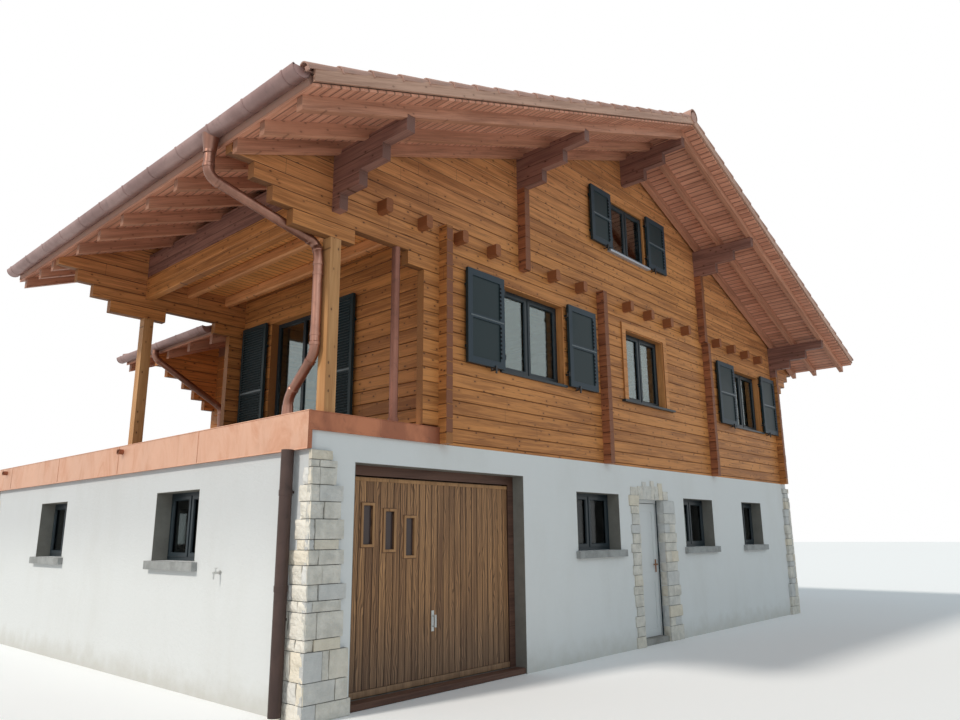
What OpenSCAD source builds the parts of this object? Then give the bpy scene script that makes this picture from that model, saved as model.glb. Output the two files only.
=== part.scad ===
/* [Base storey] */
// outer width of the rendered base storey, mm
base_w = 11360; // [10200:10:12500]
// outer depth of the base storey, mm
base_d = 8500; // [7600:10:9400]
// height of the base storey, mm
base_h = 2440; // [2200:10:2700]
// thickness of the base walls, mm
base_wall_t = 300; // [250:10:350]
// height of the ground floor slab, mm
floor_t = 80; // [60:5:120]
// thickness of the slab over the base storey, mm
ceiling_t = 200; // [160:10:240]

/* [Garage doorway] */
// distance of the garage doorway from the left corner, mm
garage_left = 510; // [480:10:560]
// width of the garage doorway, mm
garage_w = 2500; // [2300:10:2700]
// height of the wall over the garage doorway, mm
garage_lintel = 260; // [220:10:320]
// depth of the reveal in front of the garage frame, mm
garage_reveal = 160; // [120:5:180]
// face width of the garage frame, mm
garage_frame_w = 100; // [80:5:120]
// thickness of the garage leaf, mm
garage_leaf_t = 50; // [40:1:60]
// gap around the moving leaves, mm
leaf_gap = 8; // [6:1:12]

/* [Entrance doorway] */
// distance of the entrance doorway from the left corner, mm
entrance_left = 5600; // [5400:10:5800]
// width of the entrance doorway, mm
entrance_w = 720; // [700:10:860]
// height of the wall over the entrance doorway, mm
entrance_lintel = 450; // [400:10:500]
// depth of the entrance frame behind the wall face, mm
entrance_reveal = 100; // [80:5:140]
// face width of the entrance frame, mm
entrance_frame_w = 45; // [40:1:60]
// thickness of the entrance leaf, mm
entrance_leaf_t = 50; // [45:1:60]

/* [Base windows] */
// width of the base windows, mm
base_win_w = 1010; // [900:10:1100]
// width of the smallest base window, mm
small_win_w = 850; // [750:10:900]
// height of the base windows, mm
base_win_h = 740; // [660:10:800]
// distance of the window tops below the top of the base storey, mm
base_win_drop = 400; // [360:10:440]
// how much lower the side windows of the base sit, mm
side_lower = 40; // [0:5:60]
// depth of the window reveals, mm
win_reveal = 180; // [150:5:200]

/* [Log storey] */
// height of one log course, mm
log_h = 154; // [148:1:160]
// thickness of the logs, mm
log_t = 100; // [90:1:110]
// thickness of the log walls with their inner layer, mm
log_wall_t = 200; // [180:5:220]
// height of the sill board under the first log, mm
sill_h = 36; // [30:1:45]
// depth of the groove between two logs, mm
groove = 9; // [6:1:12]
// how far crossing log ends stand out, mm
log_end = 118; // [100:1:130]
// distance of the left log wall from the left face of the base, mm
terrace_w = 1600; // [1400:10:1800]
// depth of the log storey from face to face, mm
log_d = 4130; // [3800:10:4400]

/* [Main roof] */
// pitch of the roofs, degrees
pitch = 21; // [18:0.5:24]
// run from the ridge to the edge of the eaves, mm
eave_run = 6670; // [6550:10:6800]
// overhang of the roof beyond the gable walls, mm
verge_over = 1260; // [1150:10:1320]
// height from the underside of the roof boards down to the purlins, mm
purlin_seat = 109; // [90:1:120]
// depth of the rafters square to the slope, mm
rafter_h = 120; // [110:1:130]
// width of the rafters, mm
rafter_w = 75; // [60:1:90]
// thickness of the roof boards, mm
board_t = 24; // [20:1:30]
// thickness of the battens and tiles together, mm
cover_t = 155; // [140:1:165]
// distance of the outer purlins from the ridge, mm
outer_purlin = 5500; // [5450:5:5550]
// distance of the left middle purlin from the ridge, mm
middle_left = 2620; // [2580:5:2660]
// distance of the right middle purlin from the ridge, mm
middle_right = 2350; // [2310:5:2390]
// how far the purlins stand out beyond the gables, mm
purlin_over = 1065; // [1000:5:1100]
// step between two corbel ends, mm
corbel_step = 328; // [300:4:340]

/* [Terrace] */
// width of the copper clad coping, mm
coping_w = 300; // [260:10:340]
// height of the coping above the base walls, mm
coping_h = 170; // [150:5:190]
// side of the square terrace posts, mm
post_w = 125; // [110:1:140]
// height of the terrace floor above the base walls, mm
paving_t = 60; // [50:5:80]

/* [Upper windows] */
// width of the shuttered windows, mm
win_w = 1290; // [1200:10:1320]
// height of the shuttered windows, mm
win_h = 1078; // [1000:2:1090]
// thickness of the shutters, mm
shutter_t = 38; // [32:1:44]
// gap between the open shutters and the logs, mm
shutter_gap = 32; // [25:1:40]

/* [Rear wing] */
// distance of the wing walls from the ridge, mm
wing_x = 3440; // [3300:10:3500]
// depth of the wing behind the log storey, mm
wing_d = 1900; // [1700:10:2100]
// run of the wing roof from the ridge to its eaves, mm
wing_run = 4500; // [4400:10:4600]
// drop of the wing ridge below the main ridge, mm
wing_drop = 1360; // [1340:10:1400]
// overhang of the wing roof at the rear, mm
wing_over = 980; // [800:10:1000]

/* [Gutters and pipes] */
// radius of the main gutters, mm
gutter_r = 86; // [80:1:95]
// thickness of gutter and pipe walls, mm
sheet_t = 4; // [3:1:6]
// outer radius of the copper pipes, mm
pipe_r = 48; // [42:1:52]
// outer radius of the pipes on the base storey, mm
base_pipe_r = 57; // [50:1:60]

/* [Hidden] */
$fn = 32;
slope = tan(pitch);
half = base_w / 2;
side_x = half - terrace_w;
right_x = outer_purlin + log_t / 2;
upper_z = base_h;
fit_gap = 0.05;
rafter_v = rafter_h / cos(pitch);
board_v = board_t / cos(pitch);
cover_v = cover_t / cos(pitch);
beam_z = upper_z + sill_h + 13 * log_h;
stub_z = beam_z - log_h;
plate_z = upper_z + sill_h + 13.5 * log_h + 29;
joist_z = upper_z + sill_h + 15 * log_h - 50;
ridge_z = plate_z + 4 * log_h + purlin_seat + outer_purlin * slope;
garage_h = base_h - garage_lintel;
entrance_h = base_h - entrance_lintel;
base_win_z = base_h - base_win_drop - base_win_h;
side_win_z = base_win_z - side_lower;
rear_y = log_d;
wing_y = log_d + wing_d;
wing_ridge = ridge_z - wing_drop;
end_x = 230;
frame_t = 60;
glass_t = 24;
side_off = log_h / 2;

// height of a front joint
function fz(k) = upper_z + sill_h + k * log_h;
// height of a joint of the crossing walls
function sz(k) = upper_z + sill_h + side_off + k * log_h;
// underside of the main roof boards
function deck(x) = ridge_z - abs(x) * slope;
// underside of the wing roof boards
function wing_deck(x) = wing_ridge - abs(x) * slope;

// moves everything so that the middle of the base stands on the origin
module place()
{
  translate([0, -base_d / 2, 0])
    children();
}

// a box from its low corner to its high corner
module block(a, b)
{
  translate(a)
    cube([b[0] - a[0], b[1] - a[1], b[2] - a[2]]);
}

// an outline in x and z, run along y from y0 to y1
module along_y(y0, y1)
{
  translate([0, y1, 0])
    rotate([90, 0, 0])
      linear_extrude(y1 - y0)
        children();
}

// an outline in y and z, run along x from x0 to x1
module along_x(x0, x1)
{
  translate([x0, 0, 0])
    rotate([90, 0, 90])
      linear_extrude(x1 - x0)
        children();
}

// log wall section: outer face at 0, inner face at t, grooves at joints z0 + i * log_h
module log_section(z0, n, t, low, high, both = false)
{
  difference()
  {
    translate([0, low])
      square([t, high - low]);
    for (i = [0 : n])
      translate([0, z0 + i * log_h])
        rotate(45)
          square(groove * 1.414, center = true);
    if (both)
      for (i = [0 : n])
        translate([t, z0 + i * log_h])
          rotate(45)
            square(groove * 1.414, center = true);
  }
}

// slab between two heights of a sloping roof, x from the ridge to run, on the side s
module slope_outline(s, z0, t, run0, run1)
{
  polygon([[s * run0, z0 - run0 * slope], [s * run1, z0 - run1 * slope],
    [s * run1, z0 - run1 * slope + t], [s * run0, z0 - run0 * slope + t]]);
}

// base storey
base_wins_front = [[4090, base_win_w], [6985, base_win_w], [9165, small_win_w]];
base_wins_left = [[1930, 970], [5560, 970]];
base_wins_rear = [[2200, base_win_w], [5200, base_win_w], [8200, base_win_w]];
garage_x0 = -half + garage_left;
garage_x1 = garage_x0 + garage_w;
entrance_x0 = -half + entrance_left;
entrance_x1 = entrance_x0 + entrance_w;
base_win_top = base_win_z + base_win_h;
side_win_top = side_win_z + base_win_h;

module front_holes()
{
  for (w = base_wins_front)
    block([-half + w[0], -50, base_win_z], [-half + w[0] + w[1], base_wall_t + 50, base_win_top]);
}

module floor_slab()
{
  color([0.55, 0.54, 0.52])
    place()
    {
      block([-half + base_wall_t, base_wall_t, 0], [half - base_wall_t, base_d - base_wall_t, floor_t]);
      block([garage_x0, 40, 0], [garage_x1, base_wall_t, floor_t - 20]);
      block([entrance_x0, 20, 0], [entrance_x1, base_wall_t, floor_t]);
    }
}

module base_front_left()
{
  color([0.9, 0.91, 0.92])
    place()
      block([-half, 0, 0], [garage_x0, base_wall_t, base_h]);
}

module base_front_middle()
{
  color([0.9, 0.91, 0.92])
    place()
      difference()
      {
        block([garage_x1, 0, 0], [entrance_x0, base_wall_t, base_h]);
        front_holes();
      }
}

module base_front_right()
{
  color([0.9, 0.91, 0.92])
    place()
      difference()
      {
        block([entrance_x1, 0, 0], [half, base_wall_t, base_h]);
        front_holes();
      }
}

module base_lintels()
{
  color([0.9, 0.91, 0.92])
    place()
    {
      block([garage_x0, 0, garage_h], [garage_x1, base_wall_t, base_h]);
      block([entrance_x0, 0, entrance_h], [entrance_x1, base_wall_t, base_h]);
    }
}

module base_left_wall()
{
  color([0.9, 0.91, 0.92])
    place()
      difference()
      {
        block([-half, base_wall_t, 0], [-half + base_wall_t, base_d - base_wall_t, base_h]);
        for (w = base_wins_left)
          block([-half - 50, w[0], side_win_z], [-half + base_wall_t + 50, w[0] + w[1], side_win_top]);
      }
}

module base_right_wall()
{
  color([0.9, 0.91, 0.92])
    place()
      difference()
      {
        block([half - base_wall_t, base_wall_t, 0], [half, base_d - base_wall_t, base_h]);
        for (w = base_wins_left)
          block([half - base_wall_t - 50, w[0], side_win_z], [half + 50, w[0] + w[1], side_win_top]);
      }
}

module base_rear_wall()
{
  color([0.9, 0.91, 0.92])
    place()
      difference()
      {
        block([-half, base_d - base_wall_t, 0], [half, base_d, base_h]);
        for (w = base_wins_rear)
          block([-half + w[0], base_d - base_wall_t - 50, base_win_z],
            [-half + w[0] + w[1], base_d + 50, base_win_top]);
      }
}

// rough corner stones: height of the course, its depth, length along the front, length along the side
corner_rows = [[0, 149, 495, 408], [149, 173, 456, 333], [322, 240, 458, 369], [562, 98, 363, 266],
  [660, 218, 389, 326], [878, 93, 360, 235], [971, 135, 410, 276], [1106, 161, 348, 214],
  [1267, 129, 375, 257], [1396, 88, 315, 130], [1484, 175, 365, 172], [1659, 151, 324, 95],
  [1810, 148, 351, 122], [1958, 153, 266, 74], [2111, 66, 272, 0], [2177, 89, 224, 0],
  [2266, 90, 300, 90], [2356, 80, 240, 130], [2436, 110, 290, 100], [2546, 120, 250, 140]];
front_out = 55;
side_out = 12;
stone_joint = 7;
// lowest height of the copper clad edge
fascia_low = base_h - 172;

module corner_pile(front_scale, side_scale, top_z)
{
  for (r = corner_rows)
    if (r[0] + r[1] < top_z)
    {
      block([-side_out, -front_out, r[0]], [r[2] * front_scale, 0, r[0] + r[1] - stone_joint]);
      if (r[3] > 0)
        block([-side_out, stone_joint, r[0]], [0, r[3] * side_scale, r[0] + r[1] - stone_joint]);
    }
}

module corner_stones()
{
  color([0.72, 0.69, 0.62])
    place()
    {
      translate([-half, 0, 0])
        corner_pile(1, 1, fascia_low);
      translate([half, 0, 0])
        mirror([1, 0, 0])
          corner_pile(0.75, 0.9, base_h);
      translate([-half, base_d, 0])
        mirror([0, 1, 0])
          corner_pile(0.8, 0.9, fascia_low);
      translate([half, base_d, 0])
        mirror([0, 1, 0])
          mirror([1, 0, 0])
            corner_pile(0.8, 0.9, fascia_low);
    }
}

// stones at the entrance: height, length, stand-out on each side of the doorway
left_stones = [[0, 150, 215], [150, 125, 190], [275, 140, 225], [415, 120, 180], [535, 160, 205],
  [695, 110, 230], [805, 150, 190], [955, 130, 225], [1085, 170, 200], [1255, 120, 235], [1375, 140, 185],
  [1515, 120, 215], [1635, 150, 180], [1785, 110, 200], [1895, 150, 240]];
right_stones = [[0, 210, 380], [210, 120, 340], [330, 160, 370], [490, 130, 330], [620, 150, 365],
  [770, 200, 340], [970, 130, 310], [1100, 160, 355], [1260, 120, 325], [1380, 140, 350], [1520, 130, 315],
  [1650, 150, 345], [1800, 190, 330]];
key_stones = [[0, 140, 180], [140, 110, 250], [250, 120, 190], [370, 105, 270], [475, 115, 195],
  [590, 130, 245]];
stone_out = 28;

module door_surround()
{
  color([0.72, 0.69, 0.62])
    place()
    {
      for (s = left_stones)
        if (s[0] < entrance_h - 60)
          block([entrance_x0 - s[2], -stone_out, s[0]], [entrance_x0 + 4, 0, s[0] + s[1] - stone_joint]);
      for (s = right_stones)
        if (s[0] < entrance_h - 60)
          block([entrance_x1 - 4, -stone_out, s[0]], [entrance_x1 + s[2], 0, s[0] + s[1] - stone_joint]);
      for (s = key_stones)
        block([entrance_x0 + s[0], -stone_out, entrance_h],
          [entrance_x0 + s[0] + s[1] - stone_joint, 0, entrance_h + s[2]]);
    }
}

sill_out = 60;
sill_d = 90;

// sill on a wall face at y = 0, under an opening from x0 of width w with its lower edge at z
module one_sill(x0, w, z, left, right)
{
  block([x0 - left, -sill_out, z - sill_d], [x0 + w + right, 0, z]);
}

module base_sills()
{
  color([0.62, 0.62, 0.6])
    place()
    {
      for (w = base_wins_front)
        one_sill(-half + w[0], w[1], base_win_z, 45, 75);
      for (w = base_wins_left)
      {
        translate([-half, 0, 0])
          rotate(-90)
            one_sill(-w[0] - w[1], w[1], side_win_z, 60, 60);
        translate([half, 0, 0])
          rotate(90)
            one_sill(w[0], w[1], side_win_z, 60, 60);
      }
      for (w = base_wins_rear)
        translate([0, base_d, 0])
          rotate(180)
            one_sill(half - w[0] - w[1], w[1], base_win_z, 60, 60);
    }
}

// window frame in the x and z plane: outer size w by h, n sashes, low corner at the origin, t deep in y
module win_frame(w, h, n, t)
{
  bar = 55;
  difference()
  {
    cube([w, t, h]);
    for (i = [0 : n - 1])
      translate([bar + i * (w - bar) / n, -1, bar])
        cube([(w - bar) / n - bar, t + 2, h - 2 * bar]);
  }
}

module win_panes(w, h, n, t)
{
  bar = 55;
  for (i = [0 : n - 1])
    translate([bar + i * (w - bar) / n, (t - glass_t) / 2, bar])
      cube([(w - bar) / n - bar, glass_t, h - 2 * bar]);
}

module base_frame_set(kind)
{
  for (w = base_wins_front)
    translate([-half + w[0], win_reveal, base_win_z])
      base_unit(kind, w[1]);
  for (w = base_wins_left)
  {
    translate([-half + win_reveal, w[0] + w[1], side_win_z])
      rotate(-90)
        base_unit(kind, w[1]);
    translate([half - win_reveal, w[0], side_win_z])
      rotate(90)
        base_unit(kind, w[1]);
  }
  for (w = base_wins_rear)
    translate([-half + w[0] + w[1], base_d - win_reveal, base_win_z])
      rotate(180)
        base_unit(kind, w[1]);
}

module base_unit(kind, w)
{
  if (kind == "frame")
    win_frame(w, base_win_h, 2, frame_t);
  else
    win_panes(w, base_win_h, 2, frame_t);
}

module base_window_frames()
{
  color([0.16, 0.18, 0.19])
    place()
      base_frame_set("frame");
}

module base_glass()
{
  color([0.35, 0.42, 0.45, 0.4])
    place()
      base_frame_set("glass");
}

// garage frame, leaf and glass
garage_in_x0 = garage_x0 + garage_frame_w;
garage_in_x1 = garage_x1 - garage_frame_w;
garage_in_z = garage_h - garage_frame_w;
garage_bottom = floor_t - 20;
leaf_x0 = garage_in_x0 + leaf_gap;
leaf_x1 = garage_in_x1 - leaf_gap;
leaf_z0 = garage_bottom + leaf_gap;
top_gap = 14;
leaf_z1 = garage_in_z - top_gap;
pivot_in = 10;
pivot_y = garage_reveal + 12 + pivot_in;
pivot_z = leaf_z1 - pivot_in;
pivot_r = 6;
run_gap = 0.3;
slits = [[141, 272], [419, 324], [693, 387]];
slit_w = 110;
slit_h = 365;

// pivot pins of the garage leaf, or their bores
module pivots(r, depth)
{
  for (x = [[garage_in_x0 - 20, leaf_x0 + depth], [leaf_x1 - depth, garage_in_x1 + 20]])
    translate([x[0], pivot_y, pivot_z])
      rotate([0, 90, 0])
        cylinder(r = r, h = x[1] - x[0]);
}

module garage_frame()
{
  color([0.2, 0.13, 0.09])
    place()
    {
      difference()
      {
        block([garage_x0, garage_reveal, garage_bottom], [garage_x1, garage_reveal + 90, garage_h]);
        block([garage_in_x0, 0, 0], [garage_in_x1, base_wall_t + 10, garage_in_z]);
      }
      pivots(pivot_r, 40);
    }
}

module slit_places()
{
  for (s = slits)
    translate([leaf_x0 + s[0], garage_reveal, leaf_z1 - s[1] - slit_h])
      children();
}

module garage_leaf()
{
  color([0.42, 0.28, 0.17])
    place()
      difference()
      {
        union()
        {
          block([leaf_x0, garage_reveal + 12, leaf_z0], [leaf_x1, garage_reveal + garage_leaf_t, leaf_z1]);
          block([leaf_x0, garage_reveal + 2, leaf_z0], [leaf_x1, garage_reveal + 13, leaf_z0 + 60]);
          slit_places()
            translate([-25, 2, -25])
              cube([slit_w + 50, 12, slit_h + 50]);
        }
        slit_places()
          translate([0, -1, 0])
            cube([slit_w, garage_leaf_t + 10, slit_h]);
        pivots(pivot_r + run_gap, 40 + run_gap);
      }
}

module garage_glass()
{
  color([0.3, 0.3, 0.3, 0.5])
    place()
      slit_places()
        translate([0, 24, 0])
          cube([slit_w, 10, slit_h]);
}

handle_x = leaf_x0 + 1080;
handle_z = 660;

module garage_handle()
{
  color([0.75, 0.75, 0.72])
    place()
      translate([handle_x, garage_reveal + 12, handle_z])
      {
        translate([-18, -6, -100])
          cube([36, 6, 200]);
        translate([0, -5, 50])
          rotate([90, 0, 0])
            cylinder(r = 9, h = 40);
        translate([-9, -52, -60])
          cube([18, 12, 120]);
        translate([0, -5, -50])
          rotate([90, 0, 0])
            cylinder(r = 9, h = 40);
      }
}

// entrance frame and leaf
ent_in_x0 = entrance_x0 + entrance_frame_w;
ent_in_x1 = entrance_x1 - entrance_frame_w;
ent_in_z = entrance_h - entrance_frame_w;
ent_bottom = floor_t;
ent_y = entrance_reveal;
ent_leaf_y = ent_y + 20;
ent_hinge_y = ent_leaf_y + entrance_leaf_t;
hinge_r = 8;
hinge_pin_r = 4;
hinge_h = 55;
hinge_x = ent_in_x0 + leaf_gap / 2;
hinge_y = ent_hinge_y + hinge_r;
hinge_zs = [300, 1600];

// hinge knuckles: the lower ones with their pins stay on the frame, the upper ones are on the leaf
module frame_knuckles()
{
  for (z = hinge_zs)
  {
    translate([hinge_x, hinge_y, z])
    {
      cylinder(r = hinge_r, h = hinge_h);
      cylinder(r = hinge_pin_r, h = 2 * hinge_h - 6);
    }
    block([hinge_x - 30, ent_hinge_y, z], [hinge_x, ent_hinge_y + 6, z + hinge_h]);
  }
}

module leaf_knuckles()
{
  for (z = hinge_zs)
    difference()
    {
      union()
      {
        translate([hinge_x, hinge_y, z + hinge_h + run_gap])
          cylinder(r = hinge_r, h = hinge_h);
        block([hinge_x, ent_hinge_y, z + hinge_h + run_gap],
          [hinge_x + 34, ent_hinge_y + 6, z + 2 * hinge_h]);
      }
      translate([hinge_x, hinge_y, z + hinge_h - 10])
        cylinder(r = hinge_pin_r + run_gap, h = hinge_h + 4.6);
    }
}

module entrance_frame()
{
  color([0.85, 0.86, 0.87])
    place()
    {
      difference()
      {
        block([entrance_x0, ent_y, ent_bottom], [entrance_x1, ent_hinge_y, entrance_h]);
        block([ent_in_x0, 0, ent_bottom - 1], [ent_in_x1, base_wall_t, ent_in_z]);
      }
      frame_knuckles();
    }
}

module entrance_leaf()
{
  color([0.88, 0.89, 0.9])
    place()
    {
      difference()
      {
        block([ent_in_x0 + leaf_gap, ent_leaf_y, ent_bottom + leaf_gap],
          [ent_in_x1 - leaf_gap, ent_hinge_y, ent_in_z - leaf_gap]);
        block([ent_in_x0 + 95, ent_leaf_y - 1, 950], [ent_in_x1 - 95, ent_leaf_y + 8, ent_in_z - 120]);
        block([ent_in_x0 + 95, ent_leaf_y - 1, 190], [ent_in_x1 - 95, ent_leaf_y + 8, 830]);
      }
      leaf_knuckles();
    }
}

module entrance_handle()
{
  color([0.55, 0.3, 0.16])
    place()
      translate([ent_in_x1 - 58, ent_leaf_y, 1050])
      {
        translate([-16, -6, -90])
          cube([32, 6, 180]);
        translate([0, -5, 20])
          rotate([90, 0, 0])
            cylinder(r = 12, h = 22);
        translate([-100, -38, 11])
          cube([112, 14, 18]);
      }
}

// slab, terrace and coping
module ceiling_slab()
{
  color([0.6, 0.6, 0.58])
    place()
      block([-half + base_wall_t, base_wall_t, base_h - ceiling_t],
        [half - base_wall_t, base_d - base_wall_t, base_h]);
}

coping_top = base_h + coping_h;
lip = 22;
side_lip = 45;
side_wall_x = -side_x;

module terrace_floor()
{
  color([0.5, 0.5, 0.48])
    place()
    {
      block([-half + coping_w, coping_w, base_h], [side_wall_x, rear_y, base_h + paving_t]);
      block([-half + coping_w, rear_y, base_h], [-wing_x, base_d - coping_w, base_h + paving_t]);
      block([-wing_x, wing_y, base_h], [wing_x, base_d - coping_w, base_h + paving_t]);
      block([wing_x, rear_y, base_h], [half - coping_w, base_d - coping_w, base_h + paving_t]);
    }
}

module copper_coping()
{
  color([0.72, 0.4, 0.28])
    place()
    {
      block([-half, 0, base_h], [-half + coping_w, base_d, coping_top]);
      block([-half, 0, base_h], [side_wall_x, coping_w, coping_top]);
      block([-half, base_d - coping_w, base_h], [half, base_d, coping_top]);
      block([half - coping_w, rear_y + log_end, base_h], [half, base_d, coping_top]);
      block([-half - side_lip, -lip, fascia_low], [-half, base_d + lip, coping_top]);
      block([-half - side_lip, -lip, base_h - 1], [side_wall_x, 0, coping_top]);
      block([-half - side_lip, base_d, fascia_low], [half + side_lip, base_d + lip, coping_top]);
      block([half, rear_y + log_end, fascia_low], [half + side_lip, base_d + lip, coping_top]);
      for (y = [3830, base_d - 350])
        translate([-half - side_lip - 60, y, coping_top - 75])
          rotate([0, 90, 0])
            difference()
            {
              cylinder(r = 32, h = 62);
              translate([0, 0, -1])
                cylinder(r = 28, h = 58);
            }
    }
}

// log storey: window holes as x0, x1, z0, z1
left_win = [-3040, -3040 + win_w, beam_z - win_h, beam_z];
right_win = [3490, 3490 + win_w, beam_z - win_h, beam_z];
mid_win = [-190, 940, beam_z - win_h, beam_z];
attic_win = [-490, 560, upper_z + 3200, fz(26)];
upper_wins = [left_win, mid_win, right_win];
side_win = [1400, 1400 + win_w, beam_z - win_h, beam_z];
door_y0 = 2050;
door_y1 = 3300;
door_z0 = base_h + paving_t;
door_z1 = upper_z + 1970;
corbel_x = [eave_run - 685, eave_run - 460, eave_run - 260, eave_run - 30];
stub_in = outer_purlin - 240;
wall_stub = side_x + 465;
log_left = -side_x - end_x;

module win_hole(w, y0, y1)
{
  block([w[0], y0, w[2]], [w[1], y1, w[3]]);
}

module front_log_wall()
{
  color([0.66, 0.42, 0.22])
    place()
      difference()
      {
        union()
        {
          along_x(-side_x, right_x)
            log_section(fz(0), 13, log_wall_t, upper_z, beam_z);
          along_x(log_left, -side_x)
            log_section(fz(0), 13, log_t, fz(1), beam_z, true);
          along_x(right_x, half)
            log_section(fz(0), 13, log_t, upper_z, beam_z, true);
          along_x(-wall_stub, -side_x)
            log_section(fz(0), 13, log_t, stub_z, beam_z, true);
          along_x(right_x, corbel_x[0])
            log_section(fz(0), 13, log_t, stub_z, beam_z, true);
        }
        for (w = upper_wins)
          win_hole(w, -20, log_wall_t + 20);
      }
}

// outline of a gable with stepped log ends at both sides
module gable_outline()
{
  intersection()
  {
    union()
    {
      for (i = [1 : 3])
        translate([-corbel_x[i], beam_z + (i - 1) * log_h])
          square([2 * corbel_x[i], log_h]);
      translate([-corbel_x[3], beam_z + 3 * log_h])
        square([2 * corbel_x[3], ridge_z - beam_z]);
    }
    polygon([[-eave_run, deck(eave_run)], [0, ridge_z], [eave_run, deck(eave_run)], [eave_run, beam_z - 10],
      [-eave_run, beam_z - 10]]);
  }
}

// purlins: distance from the ridge, count of logs one over the other
purlin_list = [[-outer_purlin, 4], [outer_purlin, 4], [-middle_left, 3], [middle_right, 3], [0, 3]];

// lower side of log i of a purlin
function purlin_z(p, i) = deck(p[0]) - purlin_seat - (p[1] - i) * log_h;

module purlin_block(p, y0, y1, i, n)
{
  block([p[0] - log_t / 2, y0, purlin_z(p, i)], [p[0] + log_t / 2, y1, purlin_z(p, i + n)]);
}

module purlin_cuts(y0, y1)
{
  for (p = purlin_list)
    purlin_block(p, y0, y1, 0, p[1]);
}

module front_gable()
{
  color([0.66, 0.42, 0.22])
    place()
    {
      difference()
      {
        intersection()
        {
          along_x(-eave_run, eave_run)
            log_section(fz(13), 20, log_t, beam_z, ridge_z, true);
          along_y(-1, log_t + 1)
            gable_outline();
        }
        purlin_cuts(-1, log_t + 1);
        all_joists(-1, log_t + 1);
        win_hole(attic_win, -20, log_t + 20);
      }
      along_x(-corbel_x[0], -stub_in)
        log_section(fz(13), 0, log_t, stub_z, beam_z, true);
    }
}

module rear_gable()
{
  color([0.66, 0.42, 0.22])
    place()
    {
      difference()
      {
        intersection()
        {
          translate([0, rear_y, 0])
            mirror([0, 1, 0])
              along_x(-eave_run, eave_run)
                log_section(fz(13), 20, log_t, beam_z, ridge_z, true);
          along_y(rear_y - log_t - 1, rear_y + 1)
            gable_outline();
        }
        purlin_cuts(rear_y - log_t - 1, rear_y + 1);
        all_joists(rear_y - log_t - 1, rear_y + 1);
      }
      translate([0, rear_y, 0])
        mirror([0, 1, 0])
          along_x(-corbel_x[0], -stub_in)
            log_section(fz(13), 0, log_t, stub_z, beam_z, true);
    }
}

module left_log_wall()
{
  color([0.64, 0.4, 0.21])
    place()
    {
      difference()
      {
        translate([-side_x, 0, 0])
        {
          along_y(log_wall_t, rear_y - log_wall_t)
            log_section(sz(0), 16, log_wall_t, base_h, joist_z + log_h);
          along_y(log_t, rear_y - log_t)
            log_section(sz(0), 16, log_wall_t, beam_z, joist_z + log_h);
        }
        block([-side_x - 20, door_y0, door_z0], [-side_x + log_wall_t + 20, door_y1, door_z1]);
      }
      translate([-side_x, 0, 0])
        along_y(-log_end, 0)
          log_section(sz(0), 16, log_t, base_h, joist_z + log_h, true);
      translate([-side_x, 0, 0])
        along_y(rear_y, rear_y + log_end)
          log_section(sz(0), 16, log_t, base_h + paving_t, wing_deck(side_x) - 210, true);
    }
}

module right_log_wall()
{
  color([0.64, 0.4, 0.21])
    place()
      mirror([1, 0, 0])
        translate([-right_x, 0, 0])
        {
          difference()
          {
            union()
            {
              along_y(log_wall_t, rear_y - log_wall_t)
                log_section(sz(0), 16, log_wall_t, base_h, plate_z + 2 * log_h);
              along_y(log_t, rear_y - log_t)
                log_section(sz(0), 16, log_wall_t, beam_z, plate_z + 2 * log_h);
            }
            block([-20, side_win[0], side_win[2]], [log_wall_t + 20, side_win[1], side_win[3]]);
          }
          along_y(-log_end, 0)
            log_section(sz(0), 16, log_t, base_h, plate_z, true);
          along_y(rear_y, rear_y + log_end)
            log_section(sz(0), 16, log_t, base_h, plate_z, true);
        }
}

module rear_log_wall()
{
  color([0.64, 0.4, 0.21])
    place()
      translate([0, rear_y, 0])
        mirror([0, 1, 0])
        {
          along_x(-side_x, right_x)
            log_section(fz(0), 13, log_wall_t, base_h, beam_z);
          along_x(log_left, -side_x)
            log_section(fz(0), 13, log_t, base_h + paving_t, beam_z, true);
          along_x(right_x, half)
            log_section(fz(0), 13, log_t, base_h, beam_z, true);
          along_x(-wall_stub, -side_x)
            log_section(fz(0), 13, log_t, stub_z, beam_z, true);
          along_x(right_x, corbel_x[0])
            log_section(fz(0), 13, log_t, stub_z, beam_z, true);
        }
}

// places of the crossing inner walls on the front
cross_x = -860;
lower_cross = 2440;

module log_ends(x, z0, z1)
{
  translate([x - log_t / 2, 0, 0])
    along_y(-log_end, 0)
      log_section(sz(0), 30, log_t, z0, z1, true);
}

module cross_log_ends()
{
  color([0.6, 0.37, 0.2])
    place()
    {
      log_ends(cross_x, upper_z, joist_z + log_h);
      log_ends(lower_cross, upper_z, joist_z);
      log_ends(middle_right, joist_z, purlin_z(purlin_list[3], 0));
      log_ends(-middle_left, plate_z + log_h, purlin_z(purlin_list[2], 0));
    }
}

joist_w = 90;
head_out = 150;
// groups of joists between the cross walls: first place, spacing, count
joist_groups = [[-4940, 570, 4], [-2028, 629, 2], [-170, 615, 4], [2848, 614, 4]];
joist_xs = [for (g = joist_groups) for (k = [0 : g[2] - 1]) g[0] + k * g[1]];

module joist_outline(x)
{
  polygon([[x - joist_w / 2 + 18, joist_z + 6], [x + joist_w / 2 - 18, joist_z + 6],
    [x + joist_w / 2, joist_z + 24], [x + joist_w / 2, joist_z + log_h - 18],
    [x + joist_w / 2 - 18, joist_z + log_h], [x - joist_w / 2 + 18, joist_z + log_h],
    [x - joist_w / 2, joist_z + log_h - 18], [x - joist_w / 2, joist_z + 24]]);
}

module all_joists(y0, y1)
{
  for (x = joist_xs)
    along_y(y0, y1)
      joist_outline(x);
}

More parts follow.
